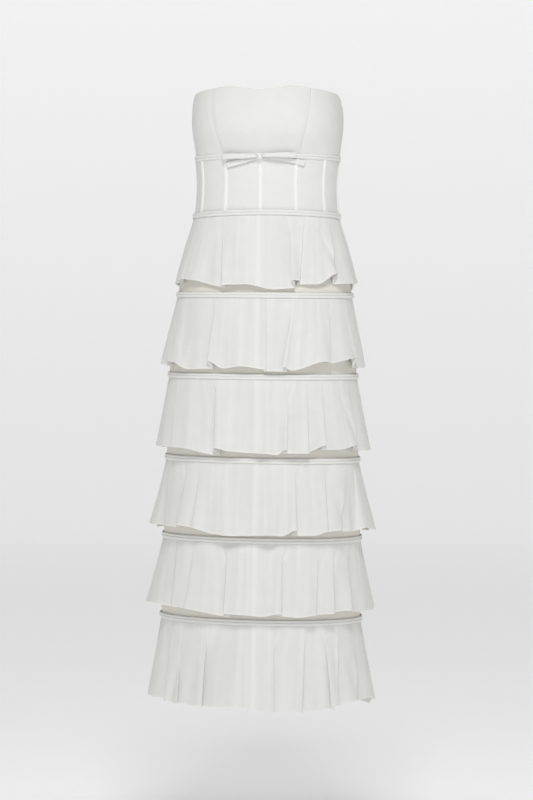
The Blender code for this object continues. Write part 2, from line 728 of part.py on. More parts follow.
def build_bow(gown):
    """The small flat bow: two loops, two tails cut on a slant, and the knot."""
    for name, stations in BOW_RIBBONS.items():
        last = len(stations) - 1
        columns = list(zip(*stations))
        leftward = stations[-1].angle < stations[0].angle
        cut = BOW_TAIL_CUT if name.startswith("bow_tail") else 0.0

        def place(across, up, last=last, columns=columns, leftward=leftward, cut=cut):
            at = (1 - across if leftward else across) * last
            row = RibbonStation(*(smooth_value(range(last + 1), c, at) for c in columns))
            slant = cut * (up - 0.5) * at / last
            angle = row.angle + (-slant if leftward else slant)
            reach = row.off + row.flare * (1 - up)
            return off_body(angle, between(row.low, row.high, up), reach)

        gown.sheet(name, place, 2 * last, 1, BOW_WALL, True, "ribbon")

    shape = block(KNOT_SIZE)
    round_edges(shape, shape.edges[:], KNOT_ROUNDING, 2)
    knot = gown.add("bow_knot", shape, "ribbon")
    knot.location = off_body(0.0, UNDERBUST_LEVEL, KNOT_OFF)
    slope = body_point(0.0, BAND_WIDTH / 2) - body_point(0.0, -BAND_WIDTH / 2)
    knot.rotation_euler.x = math.atan2(-slope.y, slope.z)


def build_zip(gown):
    """The centre-back zip: a narrow strip over the seam, the slider with its bail, and the pull."""
    half = math.degrees(ZIP_WIDTH / 2 / section(UNDERBUST_LEVEL).back)

    def place(across, up):
        angle = BACK_SEAM + half * (2 * across - 1)
        return off_body(angle, between(ZIP_FOOT, ZIP_TOP, up), ZIP_LIFT)

    gown.sheet("zip_strip", place, ZIP_COLUMNS, ZIP_ROWS, RIBBON_WALL, True, "zip_tape")

    seat = off_body(BACK_SEAM, SLIDER_LEVEL, ZIP_LIFT + RIBBON_WALL + LAYER)
    thick = SLIDER_SIZE[1]
    slider = gown.add("zip_slider", block(SLIDER_SIZE), "zip_metal")
    slider.location = seat + Vector((0.0, thick / 2, 0.0))
    bail_size = (BAIL_WIDTH, BAIL_RISE + BAIL_ROOT, BAIL_SPAN)
    bail = gown.cutter("zip_bail", block(bail_size, (0.0, (BAIL_RISE - BAIL_ROOT) / 2, 0.0)))
    bail.location = seat + Vector((0.0, thick, 0.0))
    inside = BAIL_RISE - BAIL_LEG
    window_size = (2 * BAIL_WIDTH, 2 * inside, BAIL_SPAN - 2 * BAIL_LEG)
    window = gown.cutter("zip_bail_window", block(window_size))
    window.location = bail.location
    combine(bail, "DIFFERENCE", window)
    combine(slider, "UNION", bail)

    centre = Vector((0.0, 0.0, (PULL_THICKNESS - PULL_LENGTH) / 2))
    plate = block((PULL_WIDTH, PULL_THICKNESS, PULL_LENGTH), centre)
    through = [edge for edge in plate.edges if abs(edge.verts[0].co.y - edge.verts[1].co.y) > 0]
    low = [edge for edge in through if edge.verts[0].co.z < centre.z]
    round_edges(plate, low, PULL_CORNER, 3)
    pull = gown.add("zip_pull", plate, "zip_metal")
    pull.location = slider.location + Vector((0.0, thick / 2 + PULL_PLAY + PULL_THICKNESS / 2, 0.0))
    eye_size = (PULL_EYE_WIDTH, 3 * PULL_THICKNESS, PULL_EYE_LENGTH)
    eye = gown.cutter("zip_pull_eye", block(eye_size))
    eye.location = pull.location - Vector((0.0, 0.0, (PULL_THICKNESS + PULL_EYE_LENGTH) / 2))
    combine(pull, "DIFFERENCE", eye)


def main():
    """Build the gown."""
    clear_scene()
    gown = Gown("tiered_ruffle_gown")
    build_bodice(gown)
    build_midriff(gown)
    build_skirt(gown)
    build_channels(gown)
    build_bands(gown)
    build_flounces(gown)
    build_bow(gown)
    build_zip(gown)


main()
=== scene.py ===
import logging
import math
from dataclasses import dataclass, field, replace
from enum import Enum
from typing import Any, Callable, Iterable, NamedTuple, Sequence

import bmesh
import bpy
from mathutils import Matrix, Vector


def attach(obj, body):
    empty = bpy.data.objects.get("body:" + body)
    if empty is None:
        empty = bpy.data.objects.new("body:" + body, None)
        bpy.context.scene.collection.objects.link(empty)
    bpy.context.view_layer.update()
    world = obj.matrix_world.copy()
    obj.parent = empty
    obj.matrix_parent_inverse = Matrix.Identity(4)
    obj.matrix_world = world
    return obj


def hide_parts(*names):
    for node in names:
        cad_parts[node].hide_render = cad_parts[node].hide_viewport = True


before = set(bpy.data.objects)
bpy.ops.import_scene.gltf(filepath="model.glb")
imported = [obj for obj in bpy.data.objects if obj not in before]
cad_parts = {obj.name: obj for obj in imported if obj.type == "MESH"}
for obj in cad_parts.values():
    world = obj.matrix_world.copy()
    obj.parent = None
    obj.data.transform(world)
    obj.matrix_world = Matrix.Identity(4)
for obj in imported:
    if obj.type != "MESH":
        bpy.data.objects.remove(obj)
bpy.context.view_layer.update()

LOG = logging.getLogger("ruffle_gown")

Place = Callable[[float, float], Vector]
Share = Callable[[float, float], float]
LEAST_SIDE = 0.0101  # The least side that the frame takes for a sheet


class Slot(Enum):
    """The record's material slots."""

    CREPE = "crepe"
    CHIFFON = "chiffon"
    RIBBON = "ribbon"
    ZIP_TAPE = "zip_tape"
    ZIP_METAL = "zip_metal"


class Held(Enum):
    """How a sheet of cloth is held."""

    STRETCHED = "stretched"
    HUNG = "hung"


class Body(Enum):
    """The CAD's moving bodies."""

    GOWN = "gown"
    ZIP_PULL = "zip_pull"


def linear(hex_colour: str) -> tuple[float, float, float, float]:
    """Turn an sRGB hex colour into linear RGBA.

    Args:
        hex_colour: Six hex digits, such as "F2F1EC".

    Returns:
        Red, green, blue and alpha for a shader socket.
    """
    parts = [int(hex_colour[i : i + 2], 16) / 255 for i in (0, 2, 4)]
    return (*(c / 12.92 if c <= 0.04045 else ((c + 0.055) / 1.055) ** 2.4 for c in parts), 1.0)


def add_node(
    tree: bpy.types.NodeTree, kind: str, inputs: dict[Any, Any] | None = None, **settings: Any
) -> bpy.types.Node:
    """Add a shader node with its settings and links.

    Args:
        tree: The material's or world's node tree.
        kind: The node's type, such as "ShaderNodeTexNoise".
        inputs: Values for its inputs, or the sockets that feed them, by name or number.
        settings: Attributes of the node.

    Returns:
        The new node.
    """
    node = tree.nodes.new(kind)
    for name, value in settings.items():
        setattr(node, name, value)
    for name, value in (inputs or {}).items():
        if isinstance(value, bpy.types.NodeSocket):
            tree.links.new(value, node.inputs[name])
        else:
            node.inputs[name].default_value = value
    return node


def blank_material(name: str) -> tuple[bpy.types.Material, bpy.types.NodeTree, bpy.types.Node]:
    """Make an empty material.

    Args:
        name: The material's name.

    Returns:
        The material, its node tree and its output node.
    """
    material = bpy.data.materials.new(name)
    material.use_nodes = True
    tree = material.node_tree
    tree.nodes.clear()
    return material, tree, tree.nodes.new("ShaderNodeOutputMaterial")


@dataclass(frozen=True)
class ChiffonFinish:
    """Silk chiffon, plain-woven from hard-twisted yarn: sheer, matt and a little uneven."""

    name: str = "silk_chiffon"
    light: str = "FCFCFA"
    dark: str = "F2F2EE"
    glow: str = "F8F1E4"
    # The colour of cloth on cloth, and of the hem's painted highlight
    doubled_and_highlight: str = "FFFFFD"
    roughness: float = 0.85
    translucence: float = 0.08
    sheerness: float = 0.03
    cloud_mm: float = 22.0
    streak_mm: float = 13.0
    yarn_mm: float = 1.3
    slub_mm: float = 3.2

    def material(self) -> bpy.types.Material:
        """Build the chiffon: soft cloudy colour, crossed yarns in bump and a warm glow through it."""
        material, tree, output = blank_material(self.name)
        layout = add_node(tree, "ShaderNodeUVMap", uv_map="cut").outputs["UV"]
        # The weave's density drifts over a few centimetres, which gives soft clouds of tone.
        cloud = add_node(
            tree, "ShaderNodeTexNoise",
            {"Vector": layout, "Scale": 1000 / self.cloud_mm, "Detail": 3.0, "Roughness": 0.55},
        )
        # Soft upright streaks of tone on top are painted shade and light, standing in for soft vertical
        # folds.
        upright = add_node(tree, "ShaderNodeMapping", {"Vector": layout, "Scale": (1.0, 0.04, 1.0)})
        streak = add_node(
            tree, "ShaderNodeTexNoise",
            {"Vector": upright.outputs[0], "Scale": 1000 / self.streak_mm, "Detail": 2.0},
        )
        clouds_and_fold_shade = add_node(
            tree, "ShaderNodeMath", {0: cloud.outputs["Fac"], 1: 0.3, 2: streak.outputs["Fac"]},
            operation="MULTIPLY_ADD",
        )
        spread = add_node(
            tree, "ShaderNodeMapRange", {"Value": clouds_and_fold_shade.outputs[0], "From Min": 0.42, "From Max": 0.88},
        )
        tone = add_node(
            tree, "ShaderNodeMix", {0: spread.outputs[0], 6: linear(self.dark), 7: linear(self.light)},
            data_type="RGBA",
        )
        # Cloth on cloth is whiter: the base's seam shows through, and the hem is rolled double. The
        # hem's white line is also a painted highlight, where the roll catches the light.
        seam = add_node(tree, "ShaderNodeAttribute", attribute_name="seam_behind")
        hem = add_node(tree, "ShaderNodeAttribute", attribute_name="rolled_hem_and_highlight")
        layers = add_node(
            tree, "ShaderNodeMath", {0: seam.outputs["Fac"], 1: hem.outputs["Fac"]}, operation="ADD",
            use_clamp=True,
        )
        colour = add_node(
            tree, "ShaderNodeMix", {0: layers.outputs[0], 6: tone.outputs[2], 7: linear(self.doubled_and_highlight)},
            data_type="RGBA",
        )
        # Real yarns are 0.3 mm apart, so they are drawn four times as coarse, to show at all.
        crossed = add_node(
            tree, "ShaderNodeTexNoise",
            {"Vector": layout, "Scale": 1000 / self.yarn_mm, "Detail": 2.0, "Roughness": 0.6},
        )
        stretched = add_node(tree, "ShaderNodeMapping", {"Vector": layout, "Scale": (1.0, 0.06, 1.0)})
        slubs = add_node(
            tree, "ShaderNodeTexNoise",
            {"Vector": stretched.outputs[0], "Scale": 1000 / self.slub_mm, "Detail": 2.0},
        )
        relief = add_node(
            tree, "ShaderNodeMath", {0: crossed.outputs["Fac"], 1: slubs.outputs["Fac"]},
            operation="ADD",
        )
        bump = add_node(
            tree, "ShaderNodeBump", {"Height": relief.outputs[0], "Strength": 0.10, "Distance": 0.0004},
        )
        cloth = add_node(
            tree, "ShaderNodeBsdfPrincipled",
            {
                "Base Color": colour.outputs[2], "Roughness": self.roughness,
                "Specular IOR Level": 0.25, "Sheen Weight": 0.15, "Sheen Roughness": 0.5,
                "Normal": bump.outputs[0],
            },
        )
        through = add_node(
            tree, "ShaderNodeBsdfTranslucent", {"Color": linear(self.glow), "Normal": bump.outputs[0]},
        )
        body = add_node(
            tree, "ShaderNodeMixShader",
            {0: self.translucence, 1: cloth.outputs[0], 2: through.outputs[0]},
        )
        clear = add_node(tree, "ShaderNodeBsdfTransparent")
        sheer = add_node(
            tree, "ShaderNodeMixShader", {0: self.sheerness, 1: body.outputs[0], 2: clear.outputs[0]},
        )
        tree.links.new(sheer.outputs[0], output.inputs["Surface"])
        return material


@dataclass(frozen=True)
class WovenFinish:
    """An opaque woven cloth, matt or with a low lustre."""

    name: str
    light: str
    dark: str
    roughness: float
    sheen: float
    cloud_mm: float
    grain_mm: float
    grain_stretch: tuple[float, float, float]
    relief: float

    def material(self) -> bpy.types.Material:
        """Build the cloth: a cloudy tone, and a grain that follows the cut, in colour and bump."""
        material, tree, output = blank_material(self.name)
        layout = add_node(tree, "ShaderNodeUVMap", uv_map="cut").outputs["UV"]
        cloud = add_node(
            tree, "ShaderNodeTexNoise",
            {"Vector": layout, "Scale": 1000 / self.cloud_mm, "Detail": 3.0},
        )
        stretched = add_node(tree, "ShaderNodeMapping", {"Vector": layout, "Scale": self.grain_stretch})
        grain = add_node(
            tree, "ShaderNodeTexNoise",
            {
                "Vector": stretched.outputs[0], "Scale": 1000 / self.grain_mm, "Detail": 3.0,
                "Roughness": 0.6,
            },
        )
        shade = add_node(
            tree, "ShaderNodeMath", {0: grain.outputs["Fac"], 1: 0.35, 2: cloud.outputs["Fac"]},
            operation="MULTIPLY_ADD",
        )
        tone = add_node(
            tree, "ShaderNodeMix", {0: shade.outputs[0], 6: linear(self.dark), 7: linear(self.light)},
            data_type="RGBA",
        )
        bump = add_node(
            tree, "ShaderNodeBump",
            {"Height": grain.outputs["Fac"], "Strength": self.relief, "Distance": 0.0005},
        )
        cloth = add_node(
            tree, "ShaderNodeBsdfPrincipled",
            {
                "Base Color": tone.outputs[2], "Roughness": self.roughness, "Specular IOR Level": 0.3,
                "Sheen Weight": self.sheen, "Sheen Roughness": 0.4, "Normal": bump.outputs[0],
            },
        )
        tree.links.new(cloth.outputs[0], output.inputs["Surface"])
        return material


@dataclass(frozen=True)
class EnamelFinish:
    """White enamel baked on a cast zinc zip slider: smooth and glossy over a faint ripple."""

    name: str = "baked_white_enamel"
    colour: str = "EFEEEA"
    worn: str = "DAD8D2"
    roughness: float = 0.28
    ripple_mm: float = 2.0

    def material(self) -> bpy.types.Material:
        """Build the enamel, a touch greyer where it has rubbed."""
        material, tree, output = blank_material(self.name)
        place = add_node(tree, "ShaderNodeTexCoord").outputs["Object"]
        rub = add_node(
            tree, "ShaderNodeTexNoise",
            {"Vector": place, "Scale": 1000 / self.ripple_mm, "Detail": 2.0},
        )
        tone = add_node(
            tree, "ShaderNodeMix",
            {0: rub.outputs["Fac"], 6: linear(self.colour), 7: linear(self.worn)}, data_type="RGBA",
        )
        bump = add_node(
            tree, "ShaderNodeBump",
            {"Height": rub.outputs["Fac"], "Strength": 0.05, "Distance": 0.0003},
        )
        shell = add_node(
            tree, "ShaderNodeBsdfPrincipled",
            {
                "Base Color": tone.outputs[2], "Roughness": self.roughness, "Coat Weight": 0.5,
                "Coat Roughness": 0.15, "Normal": bump.outputs[0],
            },
        )
        tree.links.new(shell.outputs[0], output.inputs["Surface"])
        return material


CREPE = WovenFinish(
    name="matt_crepe", light="EFEFEC", dark="E8E8E4", roughness=0.8, sheen=0.15, cloud_mm=30.0,
    grain_mm=1.2, grain_stretch=(1.0, 0.7, 1.0), relief=0.10,
)
# The casings hold two layers; their crepe is a lighter copy of the bodice's, a painted highlight where
# the raised bars catch the light.
CASING_PAINTED_HIGHLIGHT = replace(
    CREPE, name="crepe_painted_highlight", light="FBFBF9", dark="F5F5F2", roughness=0.7, sheen=0.2, relief=0.08
)
# The base under the flounces shows only in the shade beneath their hems, so its crepe is painted darker
# and warmer: painted shade.
LINING_PAINTED_SHADE = replace(
    CREPE, name="crepe_painted_shade", light="F0EDE5", dark="E8E4D9", roughness=0.85, sheen=0.1
)
FINISHES = {
    Slot.CHIFFON: ChiffonFinish(),
    # Crepe is woven from crimped yarn, so its face is matt and finely pebbled.
    Slot.CREPE: CREPE,
    # Ribbon has a smooth, close weave with fine cross ribs, so it catches more light.
    Slot.RIBBON: WovenFinish(
        name="grosgrain_ribbon", light="F2F2EF", dark="ECECE8", roughness=0.5, sheen=0.2, cloud_mm=18.0,
        grain_mm=1.1, grain_stretch=(1.0, 0.12, 1.0), relief=0.12,
    ),
    # Zip tape is a firm knitted strip with a flat, dull face.
    Slot.ZIP_TAPE: WovenFinish(
        name="knitted_zip_tape", light="EDECE8", dark="E4E3DE", roughness=0.7, sheen=0.1, cloud_mm=12.0,
        grain_mm=0.8, grain_stretch=(1.0, 1.0, 1.0), relief=0.2,
    ),
    Slot.ZIP_METAL: EnamelFinish(),
}


class Section(NamedTuple):
    """One level of the filled-out body: its reach each way, squareness, swing, turn, tilt and dip."""

    level: float
    half_width: float
    front: float
    back: float
    square: float
    shift: float
    turn: float
    tilt: float
    dip: float


# The levels of the waist and of the bands over flounces 2 to 6
TIER_LEVELS = (-0.104, -0.2573, -0.4078, -0.5623, -0.7093, -0.8603)
WAIST = TIER_LEVELS[0]
SECTIONS = (
    Section(0.131, 0.1340, 0.1080, 0.0950, 2.30, 0.0000, 0.0, 0.0, 0.0000),
    Section(0.102, 0.1395, 0.1175, 0.0975, 2.40, 0.0000, 0.0, 0.0, 0.0000),
    Section(0.072, 0.1415, 0.1220, 0.0995, 2.45, 0.0000, 0.0, 0.0, 0.0010),
    Section(0.044, 0.1400, 0.1185, 0.1000, 2.40, 0.0000, 0.0, 0.0, 0.0018),
    Section(0.018, 0.1365, 0.1070, 0.0990, 2.25, 0.0000, 0.0, 0.0, 0.0024),
    Section(0.000, 0.1350, 0.1000, 0.0975, 2.20, -0.0004, 0.0, 0.0, 0.0027),
    Section(-0.050, 0.1320, 0.0960, 0.0920, 2.15, -0.0014, 0.1, 0.0, 0.0042),
    Section(WAIST, 0.1360, 0.0975, 0.0950, 2.15, -0.0024, 0.4, 0.0, 0.0054),
    Section(-0.170, 0.1495, 0.1060, 0.1120, 2.10, -0.0042, 1.4, 0.2, 0.0020),
    Section(-0.2573, 0.1635, 0.1175, 0.1260, 2.10, -0.0060, 2.6, 0.4, 0.0000),
    Section(-0.4078, 0.1765, 0.1245, 0.1310, 2.10, -0.0096, 3.8, 0.5, 0.0000),
    Section(-0.5623, 0.1810, 0.1300, 0.1350, 2.10, -0.0104, 4.3, 0.8, 0.0000),
    Section(-0.7093, 0.1855, 0.1350, 0.1385, 2.10, -0.0117, 4.8, 0.9, 0.0000),
    Section(-0.8603, 0.1880, 0.1380, 0.1405, 2.10, -0.0136, 5.4, 0.9, 0.0000),
    Section(-1.0130, 0.1900, 0.1400, 0.1420, 2.10, -0.0136, 5.5, 1.0, 0.0000),
    Section(-1.0600, 0.1905, 0.1405, 0.1425, 2.10, -0.0136, 5.5, 1.0, 0.0000),
)

NECKLINE = (
    (0.0, 0.1229), (12.0, 0.1255), (25.0, 0.1295), (45.0, 0.1242), (65.0, 0.1187), (82.0, 0.1117),
    (98.0, 0.0880), (120.0, 0.0770), (150.0, 0.0700), (180.0, 0.0670),
)


def smooth_row(rows: Sequence[Sequence[float]], place: float) -> tuple[float, ...]:
    """Read a table at a place, on smooth curves through its rows.

    Args:
        rows: Rows in rising order of their first number, the place.
        place: Where to read.

    Returns:
        The row's other numbers there.
    """
    place = min(max(place, rows[0][0]), rows[-1][0])
    index = max(i for i in range(len(rows) - 1) if rows[i][0] <= place)
    span = rows[index + 1][0] - rows[index][0]
    part = (place - rows[index][0]) / span
    cube, square = part**3, part**2
    result = []
    for column in range(1, len(rows[0])):

        def slope(i: int, column: int = column) -> float:
            """The curve's slope at a row."""
            before, after = max(i - 1, 0), min(i + 1, len(rows) - 1)
            return (rows[after][column] - rows[before][column]) / (rows[after][0] - rows[before][0])

        start, end = rows[index][column], rows[index + 1][column]
        lead, trail = slope(index) * span, slope(index + 1) * span
        result.append(
            (2 * cube - 3 * square + 1) * start
            + (cube - 2 * square + part) * lead
            + (3 * square - 2 * cube) * end
            + (cube - square) * trail
        )
    return tuple(result)


def between(start: float, end: float, part: float) -> float:
    """A value between two others."""
    return start + (end - start) * part


def soft_step(low: float, high: float, value: float) -> float:
    """A smooth rise from 0 at low to 1 at high."""
    part = min(max((value - low) / (high - low), 0.0), 1.0)
    return part * part * (3 - 2 * part)


@dataclass
class GownForm:
    """The filled-out body that every piece lies on, as the CAD has it.

    An angle goes round from the centre front, positive towards +X, and a level is a height along
    the body before the skirt's slight swing.
    """

    sections: Sequence[Section] = SECTIONS
    neckline_rows: Sequence[Sequence[float]] = NECKLINE
    step: float = 0.0005
    princess_foot: float = 30.5
    princess_bulge: float = 11.0
    princess_return: float = 1.0
    side_seam: float = 90.0
    back_seam: float = 180.0
    seam: float = 0.0003
    layer: float = 0.0004
    zip_half: float = 0.004
    table: list[tuple[float, ...]] = field(default_factory=list)

    def __post_init__(self) -> None:
        """Work the sections out at every half millimetre, so that a point is quick to find."""
        rows = sorted(self.sections)
        self.low = rows[0][0]
        count = round((rows[-1][0] - self.low) / self.step) + 1
        self.table = [smooth_row(rows, self.low + self.step * i) for i in range(count)]

    def section(self, level: float) -> tuple[float, ...]:
        """The body's section at a level: half width, front, back, square, shift, turn, tilt, dip."""
        place = min(max((level - self.low) / self.step, 0.0), len(self.table) - 1.001)
        index = int(place)
        part = place - index
        first, second = self.table[index], self.table[index + 1]
        return tuple(a + (b - a) * part for a, b in zip(first, second))

    def point(self, angle: float, level: float) -> Vector:
        """A point on the body's outer face."""
        half, front, back, square, shift, turn, tilt, dip = self.section(level)
        turned = math.radians(angle + turn)
        side, ahead = math.sin(turned), math.cos(turned)
        swell = (abs(side) ** square + abs(ahead) ** square) ** (-1 / square)
        depth = front if ahead > 0 else back
        x = half * side * swell
        z = level - math.tan(math.radians(tilt)) * x - dip * side**2
        return Vector((x + shift, -depth * ahead * swell, z))

    def off(self, angle: float, level: float, distance: float) -> Vector:
        """A point at a distance out from the body's outer face."""
        across = self.point(angle + 0.5, level) - self.point(angle - 0.5, level)
        up = self.point(angle, level + 0.001) - self.point(angle, level - 0.001)
        return self.point(angle, level) + distance * across.cross(up).normalized()

    def neckline(self, angle: float) -> float:
        """The neckline's level at an angle."""
        return smooth_row(self.neckline_rows, abs(angle))[0]

    def princess(self, part: float) -> float:
        """The princess seam's angle, from the band (0) to the neckline (1)."""
        return self.princess_foot + self.princess_bulge * part - self.princess_return * part**2

    def gap(self, width: float, level: float) -> float:
        """Half a gap as an angle."""
        return math.degrees(width / 2 / self.section(level)[1])

    def zip_slit(self, level: float) -> float:
        """Half the slit that a piece leaves for the zip, as an angle at the back."""
        return math.degrees((self.zip_half + self.layer) / self.section(level)[2])


@dataclass(frozen=True)
class Cut:
    """The flat size that a piece was cut to, in metres."""

    width: float
    length: float
    area: float


@dataclass
class SubAssembly:
    """Pieces of the gown that share the body's form and the finishes."""

    form: GownForm
    materials: dict[Slot, bpy.types.Material]

    def dress(
        self, name: str, shape: bmesh.types.BMesh, slot: Slot, nodes: Iterable[str],
        body: Body = Body.GOWN,
    ) -> bpy.types.Object:
        """Turn a finished bmesh into a piece that rides on its body and stands for its nodes.

        Args:
            name: The piece's name.
            shape: The bmesh, which is freed.
            slot: The record's material slot.
            nodes: The CAD nodes that the piece stands for.
            body: The body that it rides on.

        Returns:
            The piece's object, at the origin.
        """
        mesh = bpy.data.meshes.new(name)
        shape.to_mesh(mesh)
        shape.free()
        mesh.materials.append(self.materials[slot])
        mesh.shade_smooth()
        piece = bpy.data.objects.new(name, mesh)
        bpy.context.scene.collection.objects.link(piece)
        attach(piece, body.value)
        for node in nodes:
            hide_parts(node)
        LOG.info("%s: %d faces", name, len(mesh.polygons))
        return piece

    def cloth(
        self, place: Place, columns: int, rows: int, closed: bool = False,
        marks: dict[str, Share] | None = None,
    ) -> tuple[bmesh.types.BMesh, Cut]:
        """Lay a grid of cloth on the form.

        Args:
            place: Gives the point for a share across and a share up, both from 0 to 1.
            columns: Faces across.
            rows: Faces up.
            closed: True where the two ends meet.
            marks: Named attributes, each a value for a share across and a share up.

        Returns:
            The bmesh, with the cut laid out in its UV map in metres, and the cut.
        """
        shape = bmesh.new()
        bmesh.ops.create_grid(shape, x_segments=columns, y_segments=rows, size=0.5)
        shares = [(vert.co.x + 0.5, vert.co.y + 0.5) for vert in shape.verts]
        layers = {name: shape.verts.layers.float.new(name) for name in marks or {}}
        for vert, (across, up) in zip(shape.verts, shares):
            vert.co = place(across, up)
            for name, layer in layers.items():
                vert[layer] = marks[name](across, up)
        shape.verts.index_update()
        lines = [[place(i / columns, up) for i in range(columns + 1)] for up in (0.0, 0.5, 1.0)]
        lines.append([place(0.5, i / rows) for i in range(rows + 1)])
        *widths, length = (sum((b - a).length for a, b in zip(x, x[1:])) for x in lines)
        layout = shape.loops.layers.uv.new("cut")
        for face in shape.faces:
            for loop in face.loops:
                across, up = shares[loop.vert.index]
                loop[layout].uv = (across * widths[1], up * length)
        if closed:
            bmesh.ops.remove_doubles(shape, verts=shape.verts[:], dist=0.00001)
        # A cut edge keeps its own shading, so that no dark line runs along a seam.
        for edge in shape.edges:
            edge.smooth = not edge.is_boundary
        area = sum(face.calc_area() for face in shape.faces)
        width = max(widths)
        return shape, Cut(width, max(length, area / width), area)

    def sheet(
        self, name: str, laid: tuple[bmesh.types.BMesh, Cut], slot: Slot, node: str, wall: float,
        held: Held, rests_on: Sequence[str] = (),
    ) -> bpy.types.Object:
        """Dress a laid cloth, give it its thickness and log its cut.

        Args:
            name: The piece's name.
            laid: The bmesh and the flat size it was cut to.
            slot: The record's material slot.
            node: The CAD node that it stands for.
            wall: Its thickness: outwards of its face, or inwards where it is less than 0.
            held: How it is held; not used.
            rests_on: What it lies on or hangs from; not used.

        Returns:
            The cloth's object.
        """
        shape, cut = laid
        piece = self.dress(name, shape, slot, [node])
        solid = piece.modifiers.new("Thickness", "SOLIDIFY")
        solid.thickness = abs(wall)
        solid.offset = math.copysign(1.0, wall)
        solid.use_even_offset = False
        width, length = max(cut.width, LEAST_SIDE), max(cut.length, LEAST_SIDE)
        round(min(cut.area, width * length), 5)
        LOG.info("%s: cut %.3f x %.3f m, %.4f m2", name, width, length, cut.area)
        return piece


@dataclass(frozen=True)
class Dimple:
    """A soft trough or ridge on a fitted panel: its place, its lean, its size and its depth."""

    angle: float
    level: float
    lean: float
    width: float
    length: float
    depth: float


@dataclass
class FittedCloth(SubAssembly):
    """Cloth that lies close on the body, with seams that sink."""

    wall: float = 0.0010
    groove: float = 0.0009
    groove_width: float = 1.8

    def sink(self, from_edge_deg: float) -> float:
        """How far the cloth sinks at a seam, for a distance from it in degrees."""
        return self.groove * math.exp(-((from_edge_deg / self.groove_width) ** 2))


@dataclass
class Bodice(FittedCloth):
    """The strapless bust: a centre-front panel, two side fronts and two backs."""

    foot: float = 0.0002
    edge_roll: float = 0.0005
    roll_from: float = 0.972
    stitch_drop: float = 0.030
    stitch_width: float = 0.006
    stitch_depth: float = 0.00022
    rows: int = 44
    dimples: Sequence[Dimple] = (
        Dimple(-40.0, 0.052, 3.0, 5.0, 0.022, -0.0005), Dimple(42.0, 0.060, -3.0, 5.0, 0.024, -0.0006),
        Dimple(-62.0, 0.080, 6.0, 4.0, 0.020, -0.0005), Dimple(66.0, 0.050, -6.0, 4.0, 0.022, -0.0006),
        Dimple(0.0, 0.110, 0.0, 7.0, 0.012, -0.0004), Dimple(14.0, 0.016, 9.0, 5.0, 0.008, -0.0003),
        Dimple(-16.0, 0.018, -8.0, 5.0, 0.008, -0.0003), Dimple(112.0, 0.040, 5.0, 5.0, 0.020, -0.0005),
        Dimple(-118.0, 0.038, -5.0, 5.0, 0.020, -0.0005),
        Dimple(150.0, 0.034, 4.0, 5.0, 0.018, -0.0005),
        Dimple(-146.0, 0.036, -4.0, 5.0, 0.018, -0.0005),
    )

    def crease(self, angle: float, level: float) -> float:
        """The strain creases' joint depth at a place."""
        total = 0.0
        for dimple in self.dimples:
            rise = (level - dimple.level) / dimple.length
            aside = (angle - dimple.angle - dimple.lean * rise) / dimple.width
            total += dimple.depth * math.exp(-(aside**2) - rise**2)
        return total

    def panel(
        self, label: str, left: Callable[[float], float], right: Callable[[float], float], columns: int
    ) -> bpy.types.Object:
        """Build one panel between two seams.

        Args:
            label: The panel's place, as in the CAD node's name.
            left: The left seam's angle for a share of the height.
            right: The right seam's angle for a share of the height.
            columns: Faces across.

        Returns:
            The panel's object.
        """

        def place(across: float, up: float) -> Vector:
            """A point of the panel's face, sunk at the seams and rolled over at the neckline."""
            angle = between(left(up), right(up), across)
            level = between(self.foot, self.form.neckline(angle), up)
            near = min(angle - left(up), right(up) - angle)
            rolled = soft_step(self.roll_from, 1.0, up)
            out = self.crease(angle, level) - self.sink(near) - self.edge_roll * rolled**2
            stitched = math.exp(-(((up - 1.0 + self.stitch_drop) / self.stitch_width) ** 2))
            return self.form.off(angle, level, out - self.stitch_depth * stitched)

        laid, node = self.cloth(place, columns, self.rows), "bodice_" + label
        return self.sheet("crepe_" + node, laid, Slot.CREPE, node, -self.wall, Held.STRETCHED)

    def build(self) -> None:
        """Build the five panels."""
        form = self.form
        gap = form.gap(form.seam, 0.0)
        side, back = form.side_seam, form.back_seam
        self.panel(
            "centre_front", lambda up: -form.princess(up) + gap, lambda up: form.princess(up) - gap, 72,
        )
        self.panel("side_left", lambda up: form.princess(up) + gap, lambda up: side - gap, 44)
        self.panel("side_right", lambda up: gap - side, lambda up: -form.princess(up) - gap, 44)
        self.panel("back_left", lambda up: side + gap, lambda up: back - gap, 64)
        self.panel("back_right", lambda up: gap - back, lambda up: -side - gap, 64)


# Where the bones lie, on both sides of the centre front
CHANNEL_ANGLES = (0.0, 29.0, 57.0, 88.0, 118.0, 149.0)


@dataclass
class Midriff(FittedCloth):
    """The corset-like midriff between the two upper bands."""

    top: float = -0.0002
    foot: float = WAIST + 0.0002
    channel_angles: Sequence[float] = CHANNEL_ANGLES
    hollow: float = 0.0004
    slack_from: float = 3.0
    slack_full: float = 14.0
    rows: int = 30

    def panel(self, label: str, left: float, right: float, columns: int) -> bpy.types.Object:
        """Build one panel between two angles.

        Args:
            label: The panel's place, as in the CAD node's name.
            left: The left seam's angle.
            right: The right seam's angle.
            columns: Faces across.

        Returns:
            The panel's object.
        """

        def place(across: float, up: float) -> Vector:
            """A point of the panel, drawn in a little between the bones."""
            angle = between(left, right, across)
            level = between(self.foot, self.top, up)
            near = min(abs(abs(angle) - bone) for bone in (*self.channel_angles, 180.0))
            slack = soft_step(self.slack_from, self.slack_full, near) * math.sin(math.pi * up)
            edge = min(angle - left, right - angle)
            return self.form.off(angle, level, -self.sink(edge) - self.hollow * slack)

        laid, node = self.cloth(place, columns, self.rows), "midriff_" + label
        return self.sheet("crepe_" + node, laid, Slot.CREPE, node, -self.wall, Held.STRETCHED)

    def build(self) -> None:
        """Build the three panels."""
        gap = self.form.gap(self.form.seam, WAIST)
        side, back = self.form.side_seam, self.form.back_seam
        self.panel("front", gap - side, side - gap, 120)
        self.panel("back_left", side + gap, back - gap, 60)
        self.panel("back_right", gap - back, -side - gap, 60)


